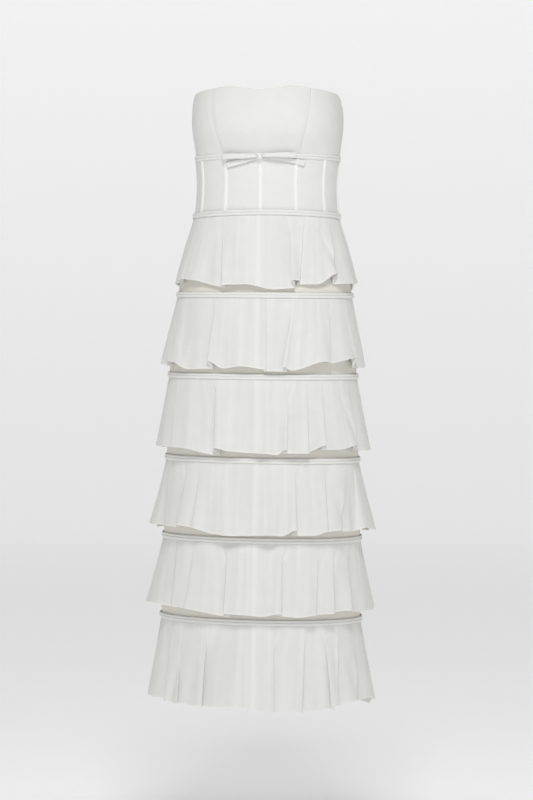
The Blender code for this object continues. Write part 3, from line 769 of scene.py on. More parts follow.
@dataclass
class BoningChannels(SubAssembly):
    """The eleven raised casings that hold the bones, from band to band."""

    angles: Sequence[float] = CHANNEL_ANGLES
    width: float = 0.0068
    wall: float = 0.0006
    arch: float = 0.0012
    flat_from: float = 0.85
    rest: float = 0.00005
    band_width: float = 0.009
    columns: int = 14
    rows: int = 30

    def build(self) -> None:
        """Build each casing as an arched strip that lies flat along its two stitched edges."""
        form = self.form
        # A lighter crepe: painted highlight on the raised casings.
        finish = CASING_PAINTED_HIGHLIGHT.material()
        foot = WAIST + self.band_width / 2 + form.layer
        top = -self.band_width / 2 - form.layer
        half_width, front = form.section(WAIST)[:2]
        angles = sorted({side * angle for angle in self.angles for side in (-1, 1)})
        for number, angle in enumerate(angles, start=1):
            half = math.degrees(self.width / 2 / front)
            half *= between(front / half_width, 1, math.sin(math.radians(angle)) ** 2)

            def place(across: float, up: float, angle: float = angle, half: float = half) -> Vector:
                """A point of the casing's face: a low arch between two stitched edges."""
                aside = 2 * across - 1
                crown = self.arch * max(0.0, 1 - (aside / self.flat_from) ** 4)
                level = between(foot, top, up)
                return form.off(angle + half * aside, level, self.rest + crown)

            laid, node = self.cloth(place, self.columns, self.rows), f"boning_channel_{number}"
            piece = self.sheet("crepe_" + node, laid, Slot.CREPE, node, self.wall, Held.STRETCHED)
            piece.data.materials[0] = finish


@dataclass
class RibbonBands(SubAssembly):
    """The ribbon bands, each a folded ribbon with two soft rolls and a line between them."""

    width: float = 0.009
    wall: float = 0.0006
    roll: float = 0.0010
    line: float = 0.0015
    line_place: float = 0.05
    line_width: float = 0.10
    ripple: float = 0.00012
    ripples: float = 23.0
    ripple_climb: float = 90.0
    clearance: float = 0.0003
    flounce_wall: float = 0.0010
    columns: int = 360
    rows: int = 14
    levels: Sequence[float] = (0.0, *TIER_LEVELS)
    names: Sequence[str] = ("underbust", "waist", "tier_2", "tier_3", "tier_4", "tier_5", "tier_6")

    def build(self) -> None:
        """Build the seven bands. The two that the zip crosses stop beside it."""
        form = self.form
        for label, level in zip(self.names, self.levels):
            opened = level >= WAIST
            lifted = 2 * form.layer + self.flounce_wall + self.clearance
            distance = form.layer if level == 0.0 else lifted
            slot = form.zip_slit(level) if opened else 0.0

            def place(
                across: float, up: float, level: float = level, distance: float = distance,
                slot: float = slot,
            ) -> Vector:
                """A point of the band's face."""
                angle = between(slot - form.back_seam, form.back_seam - slot, across)
                aside = 2 * up - 1
                crown = self.roll * math.sqrt(max(0.0, 1 - aside**4))
                crease = self.line * math.exp(-(((aside - self.line_place) / self.line_width) ** 2))
                wave = math.radians(angle) * self.ripples + level * self.ripple_climb
                ripple = self.ripple * math.sin(wave)
                height = level + self.width * aside / 2 + ripple
                return form.off(angle, height, distance + crown - crease + ripple)

            laid, node = self.cloth(place, self.columns, self.rows, not opened), "band_" + label
            self.sheet("ribbon_" + node, laid, Slot.RIBBON, node, self.wall, Held.STRETCHED)


@dataclass(frozen=True)
class Storey:
    """A storey of the base skirt, sewn to the next under a band: its name and its two levels."""

    name: str
    top: float
    foot: float


STOREYS = (
    Storey("hip", WAIST, TIER_LEVELS[1]), Storey("upper", TIER_LEVELS[1], TIER_LEVELS[2]),
    Storey("middle", TIER_LEVELS[2], TIER_LEVELS[4]), Storey("lower", TIER_LEVELS[4], -1.003),
)


@dataclass
class BaseSkirt(FittedCloth):
    """The plain skirt under the flounces, in four storeys of a front and a back."""

    joint: float = 0.0004
    columns: int = 90
    rows_a_metre: float = 130.0

    def panel(self, storey: Storey, side: str, left: float, finish: bpy.types.Material) -> None:
        """Build one side of a storey.

        Args:
            storey: The storey.
            side: The side, as in the CAD node's name.
            left: The angle of its first side seam.
            finish: The base's crepe, darker and warmer as painted shade.
        """
        gap = self.form.gap(self.form.seam, storey.foot)
        start, end = left + gap, left + 180 - gap
        top = storey.top - self.joint / 2
        foot = storey.foot + self.joint / 2

        def place(across: float, up: float) -> Vector:
            """A point of the skirt's face."""
            angle = between(start, end, across)
            near = min(angle - start, end - angle)
            return self.form.off(angle, between(foot, top, up), -self.sink(near))

        laid = self.cloth(place, self.columns, round((top - foot) * self.rows_a_metre))
        node = f"skirt_{storey.name}_{side}"
        piece = self.sheet("crepe_" + node, laid, Slot.CREPE, node, -self.wall, Held.HUNG)
        piece.data.materials[0] = finish

    def build(self) -> None:
        """Build the storeys in a crepe painted darker and warmer than the bodice's, as painted shade
        beneath the flounces.
        """
        finish = LINING_PAINTED_SHADE.material()
        side_seam = self.form.side_seam
        for storey in STOREYS:
            self.panel(storey, "front", -side_seam, finish)
            self.panel(storey, "back", side_seam, finish)


@dataclass(frozen=True)
class Tier:
    """A flounce: the level of its band, its length and how far it stands off."""

    level: float
    length: float
    spread: float


@dataclass(frozen=True)
class HemPoint:
    """A ridge or pocket at a hem.

    It has an angle, a distance that it stands out and one that it lifts the hem, the degrees aside
    that it starts at the band, and the degrees that a pocket is tucked in behind its ridge.
    """

    angle: float
    out: float
    lift: float
    lean: float
    tuck: float = 0.0


@dataclass(frozen=True)
class Crease:
    """A listed crease.

    It runs from an angle at its top to an angle at the hem, starts at a share of the length, and
    has a soft side and a steep side, in degrees.
    """

    top: float
    hem: float
    start: float
    left: float
    right: float
    depth: float


@dataclass(frozen=True)
class BackFlutes:
    """A tier's hidden flutes: how many, how deep and how far a ridge lifts the hem."""

    count: int
    depth: float
    lift: float


TIER_SHAPES = (
    (0.1405, 0.0090), (0.1360, 0.0135), (0.1385, 0.0170), (0.1365, 0.0220), (0.1355, 0.0215),
    (0.1640, 0.0205),
)
TIERS = tuple(Tier(level, *shape) for level, shape in zip(TIER_LEVELS, TIER_SHAPES))
# Each flounce's hem in front, ridge by ridge: angle, out and lift in millimetres, and lean
FRONT_HEMS = tuple(
    tuple(HemPoint(angle, out / 1000, lift / 1000, lean) for angle, out, lift, lean in row) for row in (
        (
            (-86, -1, 7.5, 0), (-67, -2.2, 7.2, 5), (-63.5, 3.4, 15, 5), (-50, 2.2, 13, 2),
            (-26.5, -3.6, 0.6, -5), (-24, 3, 3.4, -5), (-19, 3, 4.5, -2), (-9, 2.2, 5.2, 0),
            (9, -3.4, -2.8, 0), (18.5, -2, -0.6, 3), (20.5, 4.4, 13.5, 3), (26, 3.6, 12.5, 8),
            (28, -2.4, 6.5, 8), (38, -1.8, 6.5, 6), (55, 5.2, 26, 6), (58, -2.4, 8, 6),
            (74, 4.6, 7.5, 2), (86, 2.2, 8, 0),
        ),
        (
            (-86, 4, 3, 0), (-69.5, -4, 2.5, -5), (-66.5, 4.2, 11, -5), (-60, 3, 9.2, -4),
            (-46, -5.2, -3.4, -5), (-33.5, -4.8, -1.8, 1.5), (-31, 6, 12.6, 1.5), (-21.5, -4, -0.6, 0),
            (-10, 3.4, 3.4, 0), (4, -0.8, -1.6, 0), (6, -5.2, -5, 1), (11.5, -5, -5.2, 8),
            (13.5, 3.6, 3.4, 8), (18.5, -2.2, -3, 6), (39, 5, 12.8, 4), (43.5, 5.6, 12.2, 4),
            (46, -2.6, 9.8, 4), (68, 5.2, 20, 0), (71, -3.6, 1, 0), (86, 1.6, 0, 0),
        ),
        (
            (-86, 3, 2, 0), (-59.5, -4.2, 3.6, -4), (-56.5, 4.2, 3.4, -4), (-48, 2.4, 3, -3),
            (-28, -6.6, -9.2, -1), (-25.5, 6.6, 5, -1), (-16, 2.6, -0.6, 0), (-6, -4, -2.7, 0),
            (3, 1, -3.6, 0), (9.5, -5.2, -5.6, 1), (15.3, 5.4, 4.4, 1.5), (17.3, -3.2, -2.6, 1.5),
            (27.5, 2.8, -2.6, 1), (30, -1.2, -0.8, 1), (38.3, 6.2, 12.5, 0), (40.5, -3.6, 4, 0),
            (48, -2.6, 4.2, -1), (65.5, 5, 12.8, -3), (68.5, -3, 0.4, -3), (86, 5, -0.6, 0),
        ),
        (
            (-86, 4, 6.6, 0), (-62, -4.6, 7.4, -5), (-50.5, -4, 7, 1), (-48, 4, 11.4, 1),
            (-40, -1, 8.2, 1), (-37.5, 3.4, 7.6, 1), (-26, -5.6, -1.4, 0), (-16, 2, -4.2, -2),
            (-5, -5, -2.9, 0), (6, 3.6, -1.2, 0), (11.5, -4.8, -2.8, 0), (20.3, 6.8, 9, 0),
            (22.3, -4.6, -1.6, 0), (29.5, -3, -1.4, 0), (38, 4.4, 5.6, 1.5), (40.5, -2, 4.4, 2),
            (46.3, 5.6, 8.6, 12), (49, -5, 5.2, 12), (61, -4, 4.8, 8), (67, 5, 9.5, 4), (86, 7, 3, 0),
        ),
        (
            (-86, 7.6, 6, 0), (-65, 3, 8, -3), (-54.5, -5.2, 2.7, -3.5), (-51, 4, 5.6, -3.5),
            (-44, -1.4, 4.2, 1.5), (-41.5, 3, 4.1, 1.5), (-21.5, -6.6, -6.7, 0), (-18.5, 5.2, -1.3, 0),
            (-8, 1, -2.4, 0), (1, -4.6, -5, 0), (11.6, 6, 1.4, 1), (14.4, -3.4, -2.8, 1),
            (21, -4.4, -6, 2), (30.5, 4.4, -1.8, 4), (33, -3.6, -0.8, 4), (41, 3, 0.5, 4),
            (45.5, -2, 3, 4), (53.5, 6, 5, 4.5), (56, -2, 3.2, 4.5), (66, -4.6, -0.4, 3),
            (86, 1.2, -1, 0),
        ),
        (
            (-86, 3, 11.5, 0), (-70, 3.6, 12.2, -2), (-59.5, -4.4, 9.6, -3), (-56.5, 4, 8, -3),
            (-46.5, 3.4, 6.6, -3.5), (-44, -3, 5.8, -3.5), (-31, 4.8, 6, 0), (-28.5, -5.2, 4.2, 0),
            (-14, 5.6, 8, 0), (-1, -2, 0.6, 0), (7.5, 2, -0.9, 0), (11, -3, -0.6, 1), (22, 4, 0.2, 4),
            (24.5, -4.4, -0.6, 4), (36.5, -4.2, 3.4, 0), (39, 4, 6, 0), (44, 5, 11, 5),
            (46.5, -4.4, 12, 5), (58.5, 5.2, 17.2, 10), (61, -4.4, 15, 10), (72, 5, 17.5, 5),
            (86, 4, 10.6, 0),
        ),
    )
)
# Where the base's centre seam shows through each flounce
SEAM_ANGLES = (-1.0, -1.5, -2.0, -2.5, -3.0, -3.5)
BACK_FLUTES = (
    BackFlutes(5, 0.0038, 0.0130), BackFlutes(5, 0.0050, 0.0130), BackFlutes(6, 0.0058, 0.0110),
    BackFlutes(6, 0.0062, 0.0100), BackFlutes(7, 0.0060, 0.0080), BackFlutes(7, 0.0056, 0.0110),
)
# Each flounce's creases in front, as in Crease, with the depth in millimetres
FRONT_CREASES = tuple(
    tuple(Crease(*crease, depth / 1000) for *crease, depth in row) for row in (
        (
            (44, 60, 0.1, 5, 3, -2.2), (26, 28.5, 0.25, 3, 4, -2.6), (21, 19.5, 0.35, 3, 2.5, 1.4),
            (-22, -24, 0.3, 5, 3, 1.2), (-36, -40, 0.25, 3.5, 5, -1.6), (6, 9, 0.45, 5, 5, -1),
        ),
        (
            (-28, -30, 0.15, 3, 4.5, -2.4), (42, 45, 0.2, 3, 4, -2.2), (20, 8, 0.15, 6, 3.5, 2),
            (15, 2, 0.25, 4, 5, -1.8), (-44, -50, 0.2, 5, 3, 1.4), (60, 66, 0.3, 4, 4, -1.4),
            (-77, -73, 0.04, 6, 3, -2.6), (74, 78, 0.04, 3, 6, -2.4),
        ),
        (
            (33, 36, 0.1, 3, 4, -2.6), (50, 66, 0.1, 4, 3, -2.6), (22, 20, 0.1, 5, 3.5, 1.6),
            (-28, -31, 0.25, 3.5, 4.5, -1.8), (-8, -11, 0.35, 4.5, 4.5, -1.4),
            (-67, -63, 0.04, 6, 2.6, -2.8), (67, 72, 0.04, 2.6, 6, -2.4),
        ),
        (
            (16, 22, 0.12, 3, 4, -2.6), (35, 37, 0.2, 3, 3.5, -2.2), (47, 49.5, 0.1, 2.4, 3.2, -3),
            (-30, -31, 0.25, 3, 4, -1.8), (-10, -13, 0.35, 4.5, 4, -1.4),
            (-71, -66, 0.04, 6, 2.6, -2.8), (64, 60, 0.04, 2.6, 6, -2.6),
        ),
        (
            (-44, -49, 0.2, 3, 4, -2.2), (-14, -17, 0.15, 3, 4, -2.2), (29, 32, 0.15, 3, 4, -2.4),
            (46, 50, 0.1, 2.6, 3.2, -2.8), (11, 12, 0.35, 4, 4, -1.4), (-61, -58, 0.04, 6, 2.6, -2.8),
            (62, 63, 0.04, 2.6, 6, -2.6),
        ),
        (
            (-66, -63, 0.02, 6, 2.6, -3.4), (64, 67, 0.02, 2.6, 6, -3), (-46, -52, 0.15, 3, 4, -2.2),
            (-34, -37.5, 0.2, 2.8, 3.6, -2.2), (-26, -28.5, 0.15, 3, 4, -2.2),
            (43, 46.5, 0.12, 3, 3.6, -2.6), (55, 60, 0.15, 3, 4, -2.2), (5, 6, 0.35, 4, 4, -1.4),
            (26, 29, 0.3, 4, 4, -1.6),
        ),
    )
)


@dataclass
class Flounces(SubAssembly):
    """The six flared flounces, cut as rings and hung in front of the base skirt."""

    wall: float = 0.0005
    under_band: float = 0.045
    flare: float = 1.1
    joint: float = 0.0007
    steep_side: float = 3.0
    flute_drift: float = 0.15
    flute_variety: float = 0.25
    pocket_lift: float = -0.0020
    tuck_span: float = 4.5
    tuck_drop: float = 0.0040
    tuck_reach: float = 2.5
    roll_height: float = 0.0022
    roll_swell: float = 0.0006
    ripple: float = 0.0003
    crisp: float = 1.8
    rows: int = 44
    degrees_a_column: float = 0.9
    least_columns: int = 8
    edge_clearance: float = 0.2
    row_spread: float = 1.35
    least_rise: float = 0.0002
    tuck_from: float = 0.03
    tuck_full: float = 0.40
    seam_show: float = 0.75
    seam_width: float = 1.3
    hem_highlight_fade: tuple[float, float] = (0.0012, 0.0030)
    above_roll: float = 0.985
    cut_steps: int = 240

    def hem_points(self, number: int) -> list[HemPoint]:
        """A flounce's ridges and pockets all round, the hidden ones unevenly spaced by a loop."""
        hidden = BACK_FLUTES[number]
        points = list(FRONT_HEMS[number])
        start = self.form.side_seam
        pitch = (360 - 2 * start) / hidden.count
        for index in range(hidden.count):
            drift = self.flute_drift * math.sin(2.4 * index + number)
            size = 1 + self.flute_variety * math.cos(1.7 * index + number)
            middle = start + (index + 0.5 + drift) * pitch
            side = self.steep_side / 2 if index % 2 else -self.steep_side / 2
            pocket = HemPoint(middle - side, -hidden.depth * size, self.pocket_lift, 0.0)
            ridge = HemPoint(middle + side, hidden.depth * size, hidden.lift * size, 0.0)
            points += sorted((pocket, ridge), key=lambda point: point.angle)
        return self.tucked(points)

    def tucked(self, points: Sequence[HemPoint]) -> list[HemPoint]:
        """Fold each deep pocket in behind the steep ridge beside it, so the cloth overlaps."""
        tucks = [0.0] * len(points)
        for index, before in enumerate(points):
            following = (index + 1) % len(points)
            after = points[following]
            span = (after.angle - before.angle) % 360
            drop = before.out - after.out
            if span > self.tuck_span or abs(drop) < self.tuck_drop:
                continue
            reach = span + self.tuck_reach * min(1.0, abs(drop) / (2 * self.tuck_drop))
            if drop > 0:
                tucks[following] = -reach
            else:
                tucks[index] = reach
        return [replace(point, tuck=tuck) for point, tuck in zip(points, tucks)]

    def hem_at(self, points: Sequence[HemPoint], angle: float) -> HemPoint:
        """The hem at an angle, eased from each ridge or pocket to the next."""
        angle = (angle - points[0].angle) % 360 + points[0].angle
        index = max(i for i, point in enumerate(points) if point.angle <= angle)
        before, after = points[index], points[(index + 1) % len(points)]
        span = (after.angle - before.angle) % 360
        ease = (1 - math.cos(math.pi * (angle - before.angle) / span)) / 2
        return HemPoint(
            angle, between(before.out, after.out, ease), between(before.lift, after.lift, ease),
            between(before.lean, after.lean, ease), between(before.tuck, after.tuck, ease),
        )

    def stops(self, points: Sequence[HemPoint], left: float, right: float) -> list[float]:
        """The angles of a piece's columns, closer together on the steep side of a fold."""
        stops = []
        for before, after in zip(points, [*points[1:], points[0]]):
            span = (after.angle - before.angle) % 360
            count = max(self.least_columns, math.ceil(span / self.degrees_a_column))
            stops += [before.angle + span * index / count for index in range(count)]
        clear = self.edge_clearance
        return [left, *sorted(stop for stop in stops if left + clear < stop < right - clear), right]

    def creases(self, number: int) -> list[Crease]:
        """A flounce's creases: the front ones listed, similar ones on the sides and back."""
        hidden = BACK_FLUTES[number]
        creases = list(FRONT_CREASES[number])
        side = self.form.side_seam
        pitch = (360 - 2 * side) / hidden.count
        for index in range(hidden.count):
            centre = side + (index + 0.5) * pitch
            hem = centre + 0.30 * pitch * math.cos(1.9 * index + 2 * number)
            lean = 4.0 * math.sin(2.3 * index + number)
            depth = 0.0016 + 0.0009 * math.sin(3.1 * index + 1.3 * number)
            start = 0.25 + 0.12 * math.cos(2.7 * index + number)
            creases.append(Crease(hem - lean, hem, start, 3.2, 4.2, -depth))
        return creases

    def crease_sum(self, creases: Sequence[Crease], angle: float, free: float) -> float:
        """The creases' joint depth at an angle and a share of the length."""
        total = 0.0
        for crease in creases:
            middle = between(crease.top, crease.hem, free)
            away = (angle - middle + 180) % 360 - 180
            width = (crease.left if away < 0 else crease.right) * between(0.55, 1.0, free)
            if abs(away) < 3 * width:
                grown = soft_step(crease.start, 1.0, free) * 0.7 + 0.3 * soft_step(
                    crease.start * 0.4, 0.6, free
                )
                total += self.crisp * crease.depth * grown * math.exp(-((away / width) ** 2))
        return total

    def surface(self, number: int) -> Place:
        """The face of a flounce.

        Args:
            number: The tier, from 0 at the waist.

        Returns:
            A function that gives the point for an angle and a share of the length.
        """
        tier = TIERS[number]
        points = self.hem_points(number)
        creases = self.creases(number)
        seen: dict[float, HemPoint] = {}

        def at(angle: float, part: float) -> Vector:
            """The point at an angle, from the top under the band (0) to the hem (1)."""
            key = round(angle, 4)
            if key not in seen:
                seen[key] = self.hem_at(points, angle)
            hem = seen[key]
            lift = hem.lift + tier.spread**2 / (2 * tier.length)
            free = max(0.0, (part - self.under_band) / (1 - self.under_band))
            level = tier.level - tier.length * part + lift * free
            turned = angle + hem.lean * (1 - free)
            reach = (tier.spread + hem.out) * free**self.flare
            reach += self.crease_sum(creases, turned, free)
            reach += self.ripple * free * math.sin(angle * 0.61 + 5.0 * math.sin(3.1 * part + number))
            above_hem = (1 - part) * tier.length
            rolled = math.cos(math.pi / 2 * above_hem / self.roll_height)
            rolled = self.roll_swell * rolled if above_hem < self.roll_height else 0.0
            least = self.least_rise * min(1.0, free * 30)
            turned += hem.tuck * soft_step(self.tuck_from, self.tuck_full, free)
            return self.form.off(turned, level, self.form.layer + max(reach, least) + rolled)

        return at

    def cut(self, at: Place, left: float, right: float, length: float) -> Cut:
        """The ring sector that a flounce piece was cut to.

        Args:
            at: The flounce's face.
            left: The piece's first angle.
            right: The piece's last angle.
            length: The flounce's length.

        Returns:
            The box round the sector, and the sector's area.
        """
        steps = self.cut_steps

        def line(part: float) -> float:
            """The piece's length across at a share of its length down."""
            points = [at(between(left, right, i / steps), part) for i in range(steps + 1)]
            return sum((b - a).length for a, b in zip(points, points[1:]))

        top, hem = line(0.0), line(self.above_roll)
        opening = (hem - top) / length
        inner = top / opening
        outer = inner + length
        half = opening / 2
        width = 2 * outer * (math.sin(half) if half < math.pi / 2 else 1.0)
        height = outer - min(inner * math.cos(half), outer * math.cos(half))
        return Cut(width, height, (top + hem) / 2 * length)

    def build(self) -> None:
        """Build each flounce in a front and a back, the first with a slit for the zip."""
        form = self.form
        for number, tier in enumerate(TIERS):
            gap = form.gap(self.joint, tier.level)
            side, back = form.side_seam, form.back_seam
            pieces = [("front", gap - side, side - gap)]
            if number == 0:
                slit = form.zip_slit(tier.level)
                pieces.append(("back_left", side + gap, back - slit))
                pieces.append(("back_right", back + slit, 360 - side - gap))
            else:
                pieces.append(("back", side + gap, 360 - side - gap))
            at = self.surface(number)
            for label, left, right in pieces:
                self.piece(number, label, left, right, at)

    def piece(self, number: int, label: str, left: float, right: float, at: Place) -> bpy.types.Object:
        """Build one piece of a flounce.

        Args:
            number: The tier, from 0 at the waist.
            label: The piece's place, as in the CAD node's name.
            left: Its first angle.
            right: Its last angle.
            at: The flounce's face.

        Returns:
            The piece's object.
        """
        tier = TIERS[number]
        stops = self.stops(self.hem_points(number), left, right)
        last = len(stops) - 1

        def angle_at(across: float) -> float:
            """The angle of a column."""
            index = min(int(across * last + 1e-6), last - 1)
            return between(stops[index], stops[index + 1], across * last - index)

        def place(across: float, up: float) -> Vector:
            """A point of the piece's face. The rows lie closer together at the hem."""
            return at(angle_at(across), 1 - up**self.row_spread)

        def seam(across: float, up: float) -> float:
            """How much of the base's centre seam shows through."""
            away = (angle_at(across) - SEAM_ANGLES[number] + 180) % 360 - 180
            return self.seam_show * math.exp(-((away / self.seam_width) ** 4))

        def hem(across: float, up: float) -> float:
            """How much of the rolled hem's double layer and painted highlight there is."""
            return 1.0 - soft_step(*self.hem_highlight_fade, up**self.row_spread * tier.length)

        # The hem mark whitens the rolled hem: a double layer of cloth and a painted highlight.
        marks = {"seam_behind": seam, "rolled_hem_and_highlight": hem}
        shape, _ = self.cloth(place, last, self.rows, marks=marks)
        node = f"flounce_{number + 1}_{label}"
        storey = next(storey for storey in STOREYS if storey.foot < tier.level <= storey.top)
        base = "crepe_skirt_{}_{}".format(storey.name, label.split("_")[0])
        laid = (shape, self.cut(at, left, right, tier.length))
        return self.sheet("chiffon_" + node, laid, Slot.CHIFFON, node, self.wall, Held.HUNG, [base])


# Each bow ribbon's places in the CAD's order: angle, then its two edges' levels, its distance from
# the body and its flare, in millimetres
BOW_RIBBONS = {
    "loop_left": (
        (-2.3, -3, 4, 4.2, 0), (-11, -5.2, 5, 5, 0), (-20.5, -5.2, 6.6, 4.4, 0),
        (-28.4, -4.8, 7.2, 4.4, 0), (-30.1, -4.4, 7.4, 6.2, 0), (-28.2, -4.2, 7.6, 8.2, 0),
        (-19, -3.4, 7.6, 9.4, 0), (-10, -2.4, 5.8, 8.8, 0), (-2.3, -2, 4, 7, 0),
    ),
    "loop_right": (
        (2.3, -3, 3.6, 4.2, 0), (10, -3, 5.6, 5, 0), (18.5, -3.2, 7.6, 4.6, 0),
        (26.2, -3.4, 8, 4.8, 0), (28.2, -2.6, 8.4, 6.6, 0), (26, -1.4, 9.2, 8.8, 1),
        (18, 0.4, 10.2, 10.8, 1.4), (10, -0.2, 8.4, 9.8, 1), (2.3, -1.4, 4.2, 7, 0),
    ),
    "tail_left": (
        (-2.3, -6.2, -3.6, 3.6, 0), (-9, -10.2, -5.8, 3.2, 0), (-17, -15.2, -6.8, 3.2, 0),
        (-23, -18.4, -9, 3, 0), (-27.5, -20.6, -11.6, 3, 0),
    ),
    "tail_right": (
        (2.3, -5.8, -3.6, 3.6, 0), (10, -7, -3.8, 3.2, 0), (19, -9.4, -4.2, 3.2, 0),
        (28, -13.2, -5.2, 3.2, 0), (35.5, -17.2, -7.8, 3, 0),
    ),
}


@dataclass
class Bow(SubAssembly):
    """The small flat bow: two loops, two tails cut on a slant, and the knot."""

    wall: float = 0.0006
    tail_cut: float = 1.6
    cup: float = 0.0005
    knot_size: tuple[float, float, float] = (0.0095, 0.0085, 0.0105)
    knot_off: float = 0.0066
    pinch: float = 0.0007
    pinch_reach: float = 7.0
    columns_a_place: int = 12
    rows: int = 10
    knot_cuts: int = 15
    knot_round: float = 0.55
    knot_pleat: float = 0.05
    knot_pleats: float = 9.0
    knot_waist: float = 0.14

    def ribbon(self, label: str, places: Sequence[Sequence[float]]) -> bpy.types.Object:
        """Build one loop or tail.

        Args:
            label: The ribbon's name in the CAD.
            places: The places that it passes through, as in BOW_RIBBONS.

        Returns:
            The ribbon's object.
        """
        leftward = places[-1][0] < places[0][0]
        tail = label.startswith("tail")
        rows = [(float(i), row[0], *(size / 1000 for size in row[1:])) for i, row in enumerate(places)]
        last = len(rows) - 1

        def place(across: float, up: float) -> Vector:
            """A point of the ribbon, cupped across and pleated where it meets the knot."""
            at = (1 - across if leftward else across) * last
            angle, low, high, off, flare = smooth_row(rows, at)
            slant = self.tail_cut * (up - 0.5) * at / last if tail else 0.0
            near = math.exp(-((angle / self.pinch_reach) ** 2))
            pleat = self.pinch * near * math.cos(up * 4 * math.pi)
            cupped = self.cup * (1 - (2 * up - 1) ** 2) * (1 - near)
            reach = off + flare * (1 - up) + pleat * 0.5 + cupped * 0.5
            turned = angle + (-slant if leftward else slant)
            return self.form.off(turned, between(low, high, up), reach)

        columns = self.columns_a_place * last * (2 if tail else 1)
        laid, node = self.cloth(place, columns, self.rows), "bow_" + label
        base = ["ribbon_band_underbust"]
        return self.sheet("ribbon_" + node, laid, Slot.RIBBON, node, self.wall, Held.HUNG, base)

    def knot(self) -> bpy.types.Object:
        """Build the knot: a rounded block of ribbon with soft pleats down it."""
        form = self.form
        shape = bmesh.new()
        bmesh.ops.create_cube(shape, size=1.0)
        bmesh.ops.subdivide_edges(shape, edges=shape.edges[:], cuts=self.knot_cuts, use_grid_fill=True)
        for vert in shape.verts:
            across, out, up = vert.co * 2
            ball = Vector((across, out, up))
            biggest = max(abs(across), abs(out), abs(up), 1e-6)
            rounded = ball * (biggest / max(ball.length, 1e-6))
            soft = ball.lerp(rounded, self.knot_round)
            pleat = self.knot_pleat * math.cos(across * self.knot_pleats) if out < 0 else 0
            waist = 1 - self.knot_waist * (1 - up * up)
            shares = (waist, 1 + pleat, 1.0)
            vert.co = [c * share * size / 2 for c, share, size in zip(soft, shares, self.knot_size)]
        slope = form.point(0.0, 0.0045) - form.point(0.0, -0.0045)
        turn = Matrix.Rotation(math.atan2(-slope.y, slope.z), 4, "X")
        place = Matrix.Translation(form.off(0.0, 0.0, self.knot_off)) @ turn
        bmesh.ops.transform(shape, matrix=place, verts=shape.verts[:])
        layout = shape.loops.layers.uv.new("cut")
        for face in shape.faces:
            for loop in face.loops:
                loop[layout].uv = (loop.vert.co.x, loop.vert.co.z)
        return self.dress("ribbon_bow_knot", shape, Slot.RIBBON, ["bow_knot"])

    def build(self) -> None:
        """Build the bow."""
        for label, places in BOW_RIBBONS.items():
            self.ribbon(label, places)
        self.knot()


